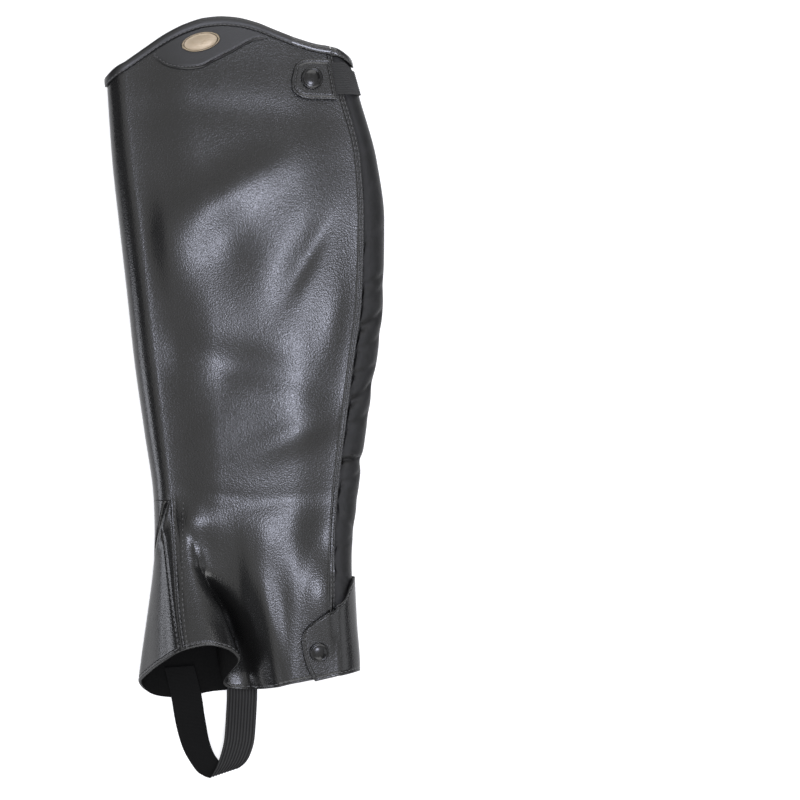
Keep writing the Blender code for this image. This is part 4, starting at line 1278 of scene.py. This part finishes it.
def back_binding():
    """The binding on the top edge of the stretch panel, between the leather's two edges."""
    turn = np.linspace(0.51, 2.49, 100)
    y = back_line(top_edge, turn, BAND_HIGH)
    edge = (on_back(turn, y, 0), on_back(turn, y, 1))
    return bound_edge(
        "back_binding_trim", edge, on_back(turn, y - BINDING_WIDTH, 0),
        0 * turn - STRETCH_CLOTH - BINDING_EASE, 0 * turn + BINDING_EASE,
        [glossy_trim()], 0 * turn.astype(int),
    )


def binding_seam():
    """The stitch row along the lower edge of the top binding."""
    column = np.linspace(BINDING_END, 1.4, 500)
    level = np.full(column.shape, 2.0)
    edge = (on_leather(column, level, 0), on_leather(column, level, 1))
    normal, down = edge_frame(edge, on_leather(column, level - 0.015, 0))

    def row(height):
        return edge[0] + normal * height + down * (BINDING_WIDTH - BINDING_ROW)

    return seam("binding_seam", [row], ON_LEATHER + TRIM_LEATHER - 0.25, BINDING_STITCH)


def cap_panel():
    """The shaped panel at the outer side of the knee, from its lower edge up to the binding."""
    columns = with_close_ends(CAP_EDGE[-1].x - CAP_END, CAP_EDGE[0].x + CAP_END, 110, 0, 0, 70.0)
    x, across = grid(columns, np.concatenate([EDGE_STEPS / 18.0, np.linspace(0.32, 1, 30)]))
    lower = read(CAP_EDGE, "x", "y", x)
    slope = (top_edge(x + 1) - top_edge(x - 1)) / 2
    upper = top_edge(x) - (BINDING_WIDTH + GAP) * np.sqrt(1 + slope**2)
    tall = np.maximum(upper - lower, CAP_THIN_END)
    y = lower + tall * across
    from_edge_mm = tall * across
    rolled = groove(from_edge_mm, 1.7, 0.5, 0.3) - groove(from_edge_mm, 0.75, 0.4, 0.3)
    sunk = rounded_drop(from_edge_mm, 0.5) + rolled * ramp(tall, 2, 6)
    low = np.full(x.shape, ON_LEATHER)
    trim = grain_leather("trim_leather", 0.6, 0.12)
    return shell(
        "cap_leather", on_near(x, y, low + TRIM_LEATHER - sunk), on_near(x, y, low),
        [trim, lining_leather(), cut_edge()], worn=rubbed_edge(from_edge_mm),
    )


def cap_seam():
    """The fine stitch row just inside the cap panel's lower edge."""
    x = np.linspace(CAP_EDGE[-1].x - 3, CAP_EDGE[0].x + 1.6, 400)
    slope = read(CAP_EDGE, "x", "y", x + 0.5) - read(CAP_EDGE, "x", "y", x - 0.5)
    y = read(CAP_EDGE, "x", "y", x) + CAP_ROW * np.sqrt(1 + slope**2)
    return seam("cap_seam", [near_row(x, y)], ON_LEATHER + TRIM_LEATHER - 0.22, CAP_STITCH)


def badge():
    """The oval metal plate, blank inside its raised rim, with a dark line under the rim."""
    rings = badge_rings(BADGE_RINGS, 96)
    share = column_of(BADGE_RINGS, "share")[:, None] + np.zeros(rings.shape[:2])
    dark = np.exp(-(((share - 0.865) / 0.02) ** 2))
    return swept("badge_plate", rings[::-1], [badge_metal()], worn=dark[::-1])


def tab_outline(share, across):
    """X and Y on the top tab: share 0 at its end and 1 at its round tip, across -1 to 1 over its width."""
    end = TOP_TAB_END_LOW + (TOP_TAB_END_HIGH - TOP_TAB_END_LOW) * (across + 1) / 2
    x = end + (TOP_TAB_TIP_X - end) * np.sin(share * math.pi / 2)
    into_tip = np.clip((TOP_TAB_TIP_X + TOP_TAB_ROUND - x) / TOP_TAB_ROUND, 0, 1)
    full = (TOP_TAB_HIGH - TOP_TAB_LOW) / 2
    half = TOP_TAB_TIP_HALF + (full - TOP_TAB_TIP_HALF) * np.sqrt(1 - into_tip**2)
    y = (TOP_TAB_LOW + TOP_TAB_HIGH) / 2 - (x - TOP_TAB_TIP_X) * TOP_TAB_LEAN + across * half
    return x + TOP_TAB_SLANT * np.maximum(across, 0) * share, y


def around_tab():
    """The top tab's outline as a closed run of points: low side, tip, high side, end."""
    even, ones = np.linspace(0, 1, 160), np.ones(160)
    sides = (
        tab_outline(even, -ones), tab_outline(ones, 2 * even - 1), tab_outline(even[::-1], ones),
        tab_outline(0 * even, 1 - 2 * even),
    )
    return np.concatenate([np.stack(side, -1) for side in sides])


def distance_to(outline, x, y):
    """Distance in plan from each place to the nearest point of an outline."""
    apart = np.hypot(x[..., None] - outline[:, 0], y[..., None] - outline[:, 1])
    return apart.min(-1)


def inset(outline, distance):
    """A closed outline moved inwards, without the points that come too near another side."""
    along = np.roll(outline, -2, axis=0) - np.roll(outline, 2, axis=0)
    length = np.linalg.norm(along, axis=1)
    sound = length > 1e-6
    outline_here, along = outline[sound], along[sound] / length[sound][:, None]
    middle = outline.mean(0)
    inward = np.stack([-along[:, 1], along[:, 0]], -1)
    inward *= np.sign(((middle - outline_here) * inward).sum(1))[:, None]
    moved = outline_here + inward * distance
    clear = distance_to(outline, moved[:, 0], moved[:, 1]) > distance * 0.97
    return moved[clear]


def top_tab():
    """The leather end of the upper fastening, with a round tip, a stitched border and rounded edges."""
    close = EDGE_STEPS[:14] / 12.6
    half_lines = np.concatenate([close - 1, np.linspace(-0.72, 0, 14)])
    across_lines = np.concatenate([half_lines, -half_lines[-2::-1]])
    share_lines = np.concatenate([EDGE_STEPS[:14] / 43.0, np.linspace(0.1, 1, 70)])
    share, across = grid(share_lines, across_lines)
    x, y = tab_outline(share, across)
    distance = distance_to(around_tab(), x, y)
    sunk = np.minimum(stitched_relief(distance, (TAB_ROW,), TAB_GROOVE_WIDTH, TAB_GROOVE_DEPTH), 1.0)
    low = np.full(x.shape, ON_LEATHER + TOP_TAB_STAND_OFF)
    return shell(
        "top_tab_leather", on_near(x, y, low + TAB_LEATHER - sunk), on_near(x, y, low),
        [grain_leather("grain_leather", 1.0, 0.0), lining_leather(), cut_edge()], worn=rubbed_edge(distance),
    )


def top_tab_seam():
    """The stitch row round the top tab."""
    line = inset(around_tab(), TAB_ROW)
    height = ON_LEATHER + TOP_TAB_STAND_OFF + TAB_LEATHER - 0.28
    return seam("top_tab_seam", [near_row(line[:, 0], line[:, 1])], height, TAB_STITCH)


def step_off(x, y, over):
    """Height of a strip's inner face: clear of the leather, then down to the calf cloth past its edge."""
    past = x - read(SECTIONS, "y", "seam", y)
    return GAP + (LEATHER_OUT + over) * (1 - ramp(past, STEP_START, STEP_END))


def strip_round_calf(edges, free_end, over, near_lines, calf_lines, shares):
    """Grid functions of a strip from the far leather's edge, round the calf and over the near leather.

    Returns a function that gives its points at a depth over its inner face, on the grid of its lines."""
    turn, share_back = grid(calf_lines, shares)
    step, share_near = grid(near_lines, shares)
    middle = np.mean(edges(np.float64(CALF_HEM_X), False))
    low, high = edges(back_base(turn, middle + 0 * turn)[..., 0], turn < 1.5)
    y_back = low + (high - low) * share_back
    lift_back = GAP + (step_off(back_base(turn, y_back)[..., 0], y_back, over) - GAP) * ramp(turn, 1.5, 2)
    y_near = np.full(step.shape, middle)
    for _ in range(SETTLING_STEPS):
        start = section_at(y_near)["back"] - section_at(y_near)["back_roll"]
        x_near = start + (free_end(share_near) - start) * step
        low, high = edges(x_near, False)
        y_near = low + (high - low) * share_near
    lift_near = step_off(x_near, y_near, over)

    def points(depth):
        back, near = np.broadcast_to(depth, (len(calf_lines) + len(near_lines), len(shares))), None
        back, near = back[: len(calf_lines)], back[len(calf_lines) :]
        round_calf = on_back(turn, y_back, lift_back + back)
        return np.concatenate([round_calf, on_near(x_near, y_near, lift_near + near)])

    return points


def top_band():
    """The elastic band that carries the top tab, ribbed along its length."""

    def edges(x, far_side):
        return BAND_LOW + 0 * x, np.minimum(BAND_HIGH, top_edge(x) - BINDING_WIDTH + BAND_UNDER_BINDING)

    shares = np.linspace(0, 1, 85)
    points = strip_round_calf(
        edges, lambda share: BAND_END_X + 0 * share, GAP, np.linspace(0, 1, 31)[1:],
        np.concatenate([np.linspace(FAR_EDGE_TURN, 1, 5), np.linspace(1, 2, 41)[1:]]), shares,
    )
    look = bpy.context.scene.half_chap_cloth
    ribs = look.rib_height * 0.5 * (0.5 - 0.5 * np.cos(2 * math.pi * BAND_RIBS * shares)) - look.rib_height * 0.5
    outer = points(ELASTIC + ribs)
    uv = np.stack([0 * outer[..., 0] + shares * BAND_RIBS * RIB_PITCH, run_along(outer, 0)], -1) * MM
    finishes = [woven_elastic("flat_elastic", 1.2, 0.25)] * 3
    return shell("top_band_elastic", outer, points(0.0), finishes, uv=uv)


def bottom_tab_points(near_lines, calf_lines, shares):
    """The lower fastening's grid: cut in one with the far side and brought round the calf."""
    calf = BOTTOM_TAB_EDGE[-1]

    def edges(x, far_side):
        far_high = calf.y + BOTTOM_TAB_FAR_RISE * (1 - x / calf.x)
        return calf_hem(x), np.where(far_side, far_high, read(BOTTOM_TAB_EDGE, "x", "y", x))

    def free_end(share):
        return read(BOTTOM_TAB_END, "share", "x", share)

    return strip_round_calf(edges, free_end, TAB_STAND_OFF, near_lines, calf_lines, shares)


def bottom_tab():
    """The leather of the lower fastening, with rounded edges and a stitched border."""
    near_lines = np.concatenate([np.linspace(0, 0.86, 50)[1:], 1 - EDGE_STEPS[:14][::-1] / 26.0])
    calf_lines = np.concatenate([np.linspace(FAR_EDGE_TURN, 1, 6), np.linspace(1, 2, 45)[1:]])
    half = np.concatenate([EDGE_STEPS[:14] / 42.0, np.linspace(0.1, 0.5, 14)])
    shares = np.concatenate([half, 1 - half[-2::-1]])
    points = bottom_tab_points(near_lines, calf_lines, shares)
    flat = points(TAB_LEATHER)
    across, along = run_along(flat, 1), run_along(flat, 0)
    distance = np.minimum(np.minimum(across, across[:, -1:] - across), along[-1:] - along)
    sunk = np.minimum(stitched_relief(distance, (TAB_ROW,), TAB_GROOVE_WIDTH, TAB_GROOVE_DEPTH), 1.0)
    return shell(
        "bottom_tab_leather", points(TAB_LEATHER - sunk), points(0.0),
        [grain_leather("grain_leather", 1.0, 0.0), lining_leather(), cut_edge()], worn=rubbed_edge(distance),
    )


def bottom_tab_seam():
    """The stitch row round the bottom tab, along both edges and its free end."""
    look = bpy.context.scene.half_chap_thread
    near_lines, calf_lines = np.linspace(0, 1, 61)[1:], np.linspace(1.25, 2, 40)
    points = bottom_tab_points(near_lines, calf_lines, np.linspace(0, 1, 61))
    flat, raised = points(TAB_LEATHER - 0.28), points(TAB_LEATHER + 0.72)
    wide = run_along(flat, 1)[:, -1]
    from_end = run_along(flat, 0)
    from_end = (from_end[-1] - from_end).mean(1)
    last = np.interp(-TAB_ROW, -from_end, np.arange(len(from_end)))
    stations = np.linspace(0, last, 300)
    side = TAB_ROW / np.interp(stations, np.arange(len(wide)), wide)
    turn_over = np.linspace(side[-1], 1 - side[-1], 120)
    station = np.concatenate([stations, np.full(120, last), stations[::-1]])
    share = np.concatenate([side, turn_over, 1 - side[::-1]]) * 60

    def sampled(surface):
        i, j = np.minimum(station.astype(int), len(surface) - 2), np.minimum(share.astype(int), 59)
        u, v = (station - i)[:, None], (share - j)[:, None]
        low = surface[i, j] * (1 - v) + surface[i, j + 1] * v
        high = surface[i + 1, j] * (1 - v) + surface[i + 1, j + 1] * v
        return low * (1 - u) + high * u

    def row(height):
        return sampled(flat) + (sampled(raised) - sampled(flat)) * height

    return seam("bottom_tab_seam", [row], 0.0, TAB_STITCH)


def snap(name, centre, radius, tab_height):
    """The domed cap of a press stud, with a rolled rim."""

    def on_tab(x, y):
        return tab_height(x, y) + TAB_LEATHER + GAP

    rings = rounded_stud(centre, (2 * radius, 2 * radius), 0.0, SNAP_RINGS, on_tab, 64)
    return swept(name, rings[::-1], [snap_enamel()])


def under_strap():
    """The elastic strap: a ribbed section carried along its centreline, smooth on the side worn inside."""
    look = bpy.context.scene.half_chap_cloth
    key = np.arange(len(STRAP), dtype=float)
    at = np.linspace(0, len(STRAP) - 1, 300)
    centre = np.stack([curve(key, column_of(STRAP, name), at) for name in ("x", "y", "z")], -1)
    turn = np.radians(curve(key, column_of(STRAP, "turn"), at))
    tilt = np.radians(curve(key, column_of(STRAP, "tilt"), at))
    side = np.stack([np.cos(turn) * np.cos(tilt), np.sin(turn) * np.cos(tilt), np.sin(tilt)], -1)
    normal = np.cross(side, np.gradient(centre, axis=0))
    normal /= np.linalg.norm(normal, axis=-1, keepdims=True)
    across = np.linspace(-1, 1, STRAP_RIBS * 8 + 1)
    rib = look.rib_height * (0.5 - 0.5 * np.cos(math.pi * STRAP_RIBS * (across + 1))) - look.rib_height
    edge = ELASTIC / 2 * np.sqrt(1 - np.clip((np.abs(across) - 0.97) / 0.03, 0, 1) ** 2)
    plain = np.stack([across * STRAP_WIDTH / 2, -edge], -1)
    ribbed = np.stack([across * STRAP_WIDTH / 2, edge + rib * (np.abs(across) < 0.97)], -1)[::-1]
    section = np.concatenate([plain, ribbed[1:-1]])
    rings = centre[:, None] + side[:, None] * section[:, :1] + normal[:, None] * section[:, 1:]
    uv = np.stack([np.broadcast_to(section[:, 0], rings.shape[:2]), run_along(rings, 0)], -1) * MM
    side_of_face = np.repeat([1, 0], [len(ribbed) - 2, len(plain)])
    parts = np.concatenate([np.tile(side_of_face, len(rings) - 1), [0, 0]])
    # Painted shade: the plain side, worn inside, is darkened to 0.22 of the ribbed side's tone.
    finishes = [woven_elastic("plain_elastic", 0.22, 0.0), woven_elastic("ribbed_elastic", 1.0, 0.9)]
    return swept("under_strap_elastic", rings[:, ::-1], finishes, parts, uv[:, ::-1])


class HalfChapLeather(bpy.types.PropertyGroup):
    """The leather."""

    colour: FloatVectorProperty(
        name="Leather colour", description="Colour of the grain side", default=(0.0075, 0.0075, 0.0076),
        subtype="COLOR", min=0, max=1,
    )
    lining: FloatVectorProperty(
        name="Lining colour", description="Colour of the flesh side", default=(0.004, 0.004, 0.004),
        subtype="COLOR", min=0, max=1,
    )
    roughness: FloatProperty(
        name="Roughness", description="How matt the grain side is",
        default=0.25, min=0, max=1, subtype="FACTOR",
    )
    grain_size: FloatProperty(
        name="Grain size", description="Width of a pebble of the grain, in mm", default=1.0, min=0.1,
    )
    grain_depth: FloatProperty(
        name="Grain depth", description="Height of the grain, in mm", default=0.078, min=0,
    )


class HalfChapCloth(bpy.types.PropertyGroup):
    """The stretch cloth and the elastic."""

    stretch: FloatVectorProperty(
        name="Stretch cloth colour", description="Colour of the calf panel", default=(0.0042, 0.0042, 0.0048),
        subtype="COLOR", min=0, max=1,
    )
    elastic: FloatVectorProperty(
        name="Elastic colour", description="Colour of the strap and the band", default=(0.028, 0.028, 0.0285),
        subtype="COLOR", min=0, max=1,
    )
    knit_pitch: FloatProperty(
        name="Knit pitch", description="Distance between knitted rows, in mm", default=0.75, min=0.1,
    )
    weave_pitch: FloatProperty(
        name="Weave pitch", description="Distance between cross threads, in mm", default=0.9, min=0.1,
    )
    rib_height: FloatProperty(
        name="Rib height", description="Height of a rib, in mm", default=0.5, min=0, max=1,
    )


class HalfChapThread(bpy.types.PropertyGroup):
    """The sewing thread."""

    colour: FloatVectorProperty(
        name="Thread colour", description="Colour of the stitching", default=(0.095, 0.095, 0.098),
        subtype="COLOR", min=0, max=1,
    )
    pitch: FloatProperty(
        name="Stitch pitch", description="Distance from stitch to stitch, in mm", default=3.3, min=1,
    )
    share: FloatProperty(
        name="Stitch share", description="Share of the pitch that the thread shows",
        default=0.78, min=0.2, max=1,
        subtype="FACTOR",
    )
    thickness: FloatProperty(
        name="Thread thickness", description="Thickness of the thread, in mm", default=0.62, min=0.1,
    )


class HalfChapMetal(bpy.types.PropertyGroup):
    """The badge and the press studs."""

    badge: FloatVectorProperty(
        name="Badge colour", description="Colour of the oval plate", default=(0.31, 0.255, 0.185),
        subtype="COLOR", min=0, max=1,
    )
    enamel: FloatVectorProperty(
        name="Enamel colour", description="Colour of the press-stud caps", default=(0.005, 0.005, 0.0053),
        subtype="COLOR", min=0, max=1,
    )


class HalfChapStage(bpy.types.PropertyGroup):
    """The floor, the light and the camera."""

    floor: FloatVectorProperty(
        name="Floor colour", description="Colour of the floor", default=(0.86, 0.86, 0.86), subtype="COLOR",
        min=0, max=1,
    )
    view_width: FloatProperty(
        name="View width", description="Width of the floor in view", default=0.504, min=0.1, unit="LENGTH",
    )
    camera_height: FloatProperty(
        name="Camera height", description="Height of the camera over the floor",
        default=2.8, min=0.5, unit="LENGTH",
    )
    key_power: FloatProperty(
        name="Key light", description="Power of the main soft light", default=38, min=0, unit="POWER",
    )
    overhead_power: FloatProperty(
        name="Overhead light", description="Power of the broad light straight above",
        default=56, min=0, unit="POWER",
    )
    side_power: FloatProperty(
        name="Side lights", description="Power of each side light", default=42, min=0, unit="POWER",
    )
    back_power: FloatProperty(
        name="Back light", description="Power of the light on the calf's side",
        default=17, min=0, unit="POWER",
    )
    rim_power: FloatProperty(
        name="Rim light", description="Power of the low light at the shin", default=1.7, min=0, unit="POWER",
    )
    sky: FloatProperty(name="Sky", description="Strength of the light from all round", default=0.12, min=0)


class LeatherOperator(bpy.types.Operator):
    """Make the leather leg with its seams and its bound top edge"""

    bl_idname = "half_chap.leather"
    bl_label = "Leather leg"

    def execute(self, context):
        bound = stand_for(top_binding(), "top_binding")
        cloth_for(leather_leg(), "leather", "main_panel", leg_seams(), bound, binding_seam())
        return {"FINISHED"}


class GussetOperator(bpy.types.Operator):
    """Make the ankle gusset with its seams"""

    bl_idname = "half_chap.gusset"
    bl_label = "Ankle gusset"

    def execute(self, context):
        cloth_for(ankle_gusset(), "leather", "ankle_gusset", gusset_seams())
        return {"FINISHED"}


class StretchOperator(bpy.types.Operator):
    """Make the stretch panel down the calf"""

    bl_idname = "half_chap.stretch"
    bl_label = "Stretch panel"

    def execute(self, context):
        bound = stand_for(back_binding(), "back_binding")
        cloth_for(stretch_panel(), "stretch_cloth", "stretch_panel", bound)
        return {"FINISHED"}


class CapOperator(bpy.types.Operator):
    """Make the cap panel at the knee and its badge"""

    bl_idname = "half_chap.cap"
    bl_label = "Cap panel and badge"

    def execute(self, context):
        plate = stand_for(badge(), "badge")
        cloth_for(cap_panel(), "trim_leather", "cap_panel", cap_seam(), plate)
        return {"FINISHED"}


class TopFasteningOperator(bpy.types.Operator):
    """Make the upper fastening: band, tab and snap"""

    bl_idname = "half_chap.top_fastening"
    bl_label = "Upper fastening"

    def execute(self, context):

        def tab_height(x, y):
            return ON_LEATHER + TOP_TAB_STAND_OFF + 0 * x

        cap = snap("top_snap_cap", (TOP_SNAP_X, TOP_SNAP_Y), TOP_SNAP_RADIUS, tab_height)
        cloth_for(top_band(), "elastic", "top_band")
        cloth_for(top_tab(), "leather", "top_tab", top_tab_seam(), stand_for(cap, "top_snap"))
        return {"FINISHED"}


class BottomFasteningOperator(bpy.types.Operator):
    """Make the lower fastening: tab and snap"""

    bl_idname = "half_chap.bottom_fastening"
    bl_label = "Lower fastening"

    def execute(self, context):

        def tab_height(x, y):
            return step_off(x, y, TAB_STAND_OFF)

        cap = snap("bottom_snap_cap", (BOTTOM_SNAP_X, BOTTOM_SNAP_Y), BOTTOM_SNAP_RADIUS, tab_height)
        stand_for(cap, "bottom_snap")
        cloth_for(bottom_tab(), "leather", "bottom_tab", bottom_tab_seam(), cap)
        return {"FINISHED"}


class StrapOperator(bpy.types.Operator):
    """Make the elastic strap under the foot"""

    bl_idname = "half_chap.strap"
    bl_label = "Under-foot strap"

    def execute(self, context):
        cloth_for(under_strap(), "elastic", "under_strap")
        return {"FINISHED"}


class SocketOperator(bpy.types.Operator):
    """Give the sockets under the tabs their enamel"""

    bl_idname = "half_chap.sockets"
    bl_label = "Sockets"

    def execute(self, context):
        for node in ("top_socket", "bottom_socket"):
            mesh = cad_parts[node].data
            mesh.materials.clear()
            mesh.materials.append(snap_enamel())
        return {"FINISHED"}


def soft_light(lamp, power):
    """A square area light at its place, turned to face its aim."""
    data = bpy.data.lights.new(lamp.name, "AREA")
    data.shape = "SQUARE"
    data.size = lamp.size
    data.energy = power
    data.color = lamp.colour
    made = bpy.data.objects.new(lamp.name, data)
    made.location = lamp.place
    made.rotation_mode = "QUATERNION"
    made.rotation_quaternion = (Vector(lamp.aim) - Vector(lamp.place)).to_track_quat("-Z", "Y")
    bpy.context.scene.collection.objects.link(made)


class StageOperator(bpy.types.Operator):
    """Set the floor, the soft light and the camera straight above"""

    bl_idname = "half_chap.stage"
    bl_label = "Stage"

    def execute(self, context):
        look = context.scene.half_chap_stage
        low, high = CAD_BOX
        floor_finish = Finish(
            "stage_floor", Roughness=0.9, Emission_Color=(1, 1, 1, 1), Emission_Strength=0.45,
        )
        base = np.array(tuple(look.floor))
        floor_finish.feed(
            Base_Color=floor_finish.colours(floor_finish.noise(3, 2.0), tuple(base * 0.985), tuple(base)),
        )
        mesh = bpy.data.meshes.new("stage_floor")
        corners = [(-6, -6, low.z), (6, -6, low.z), (6, 6, low.z), (-6, 6, low.z)]
        mesh.from_pydata(corners, [], [(0, 1, 2, 3)])
        mesh.materials.append(floor_finish.material)
        floor = bpy.data.objects.new("stage_floor", mesh)
        context.scene.collection.objects.link(floor)

        world = bpy.data.worlds.new("studio")
        world.use_nodes = True
        background = world.node_tree.nodes["Background"]
        background.inputs["Color"].default_value = (0.96, 0.97, 1.0, 1.0)
        background.inputs["Strength"].default_value = look.sky
        context.scene.world = world
        for lamp in LAMPS:
            soft_light(lamp, getattr(look, lamp.power))

        lens = bpy.data.cameras.new("camera")
        lens.lens = lens.sensor_width * (look.camera_height - VIEW_PLANE) / look.view_width
        camera = bpy.data.objects.new("camera", lens)
        camera.location = (VIEW_X, VIEW_Y, look.camera_height)
        context.scene.collection.objects.link(camera)
        context.scene.camera = camera
        context.scene.view_settings.view_transform = "Standard"
        return {"FINISHED"}


GROUPS = (
    ("half_chap_leather", HalfChapLeather),
    ("half_chap_cloth", HalfChapCloth),
    ("half_chap_thread", HalfChapThread),
    ("half_chap_metal", HalfChapMetal),
    ("half_chap_stage", HalfChapStage),
)
STEPS = (
    LeatherOperator,
    GussetOperator,
    StretchOperator,
    CapOperator,
    TopFasteningOperator,
    BottomFasteningOperator,
    StrapOperator,
    SocketOperator,
    StageOperator,
)


class HalfChapPanel(bpy.types.Panel):
    """Lists the half chap's pieces and their sizes and colours."""

    bl_idname = "VIEW3D_PT_half_chap"
    bl_label = "Half chap"
    bl_space_type = "VIEW_3D"
    bl_region_type = "UI"
    bl_category = "Half Chap"

    def draw(self, context):
        for name, group in GROUPS:
            box = self.layout.box()
            for prop in group.__annotations__:
                box.prop(getattr(context.scene, name), prop)
        for step in STEPS:
            self.layout.operator(step.bl_idname)


def register():
    for name, group in GROUPS:
        bpy.utils.register_class(group)
        setattr(bpy.types.Scene, name, PointerProperty(type=group))
    for step in STEPS:
        bpy.utils.register_class(step)
    bpy.utils.register_class(HalfChapPanel)


def unregister():
    bpy.utils.unregister_class(HalfChapPanel)
    for step in reversed(STEPS):
        bpy.utils.unregister_class(step)
    for name, group in reversed(GROUPS):
        delattr(bpy.types.Scene, name)
        bpy.utils.unregister_class(group)


def dress():
    """Registers the classes and makes every piece in order."""
    register()
    for step in STEPS:
        group, name = step.bl_idname.split(".")
        getattr(getattr(bpy.ops, group), name)()


if __name__ == "__main__":
    dress()
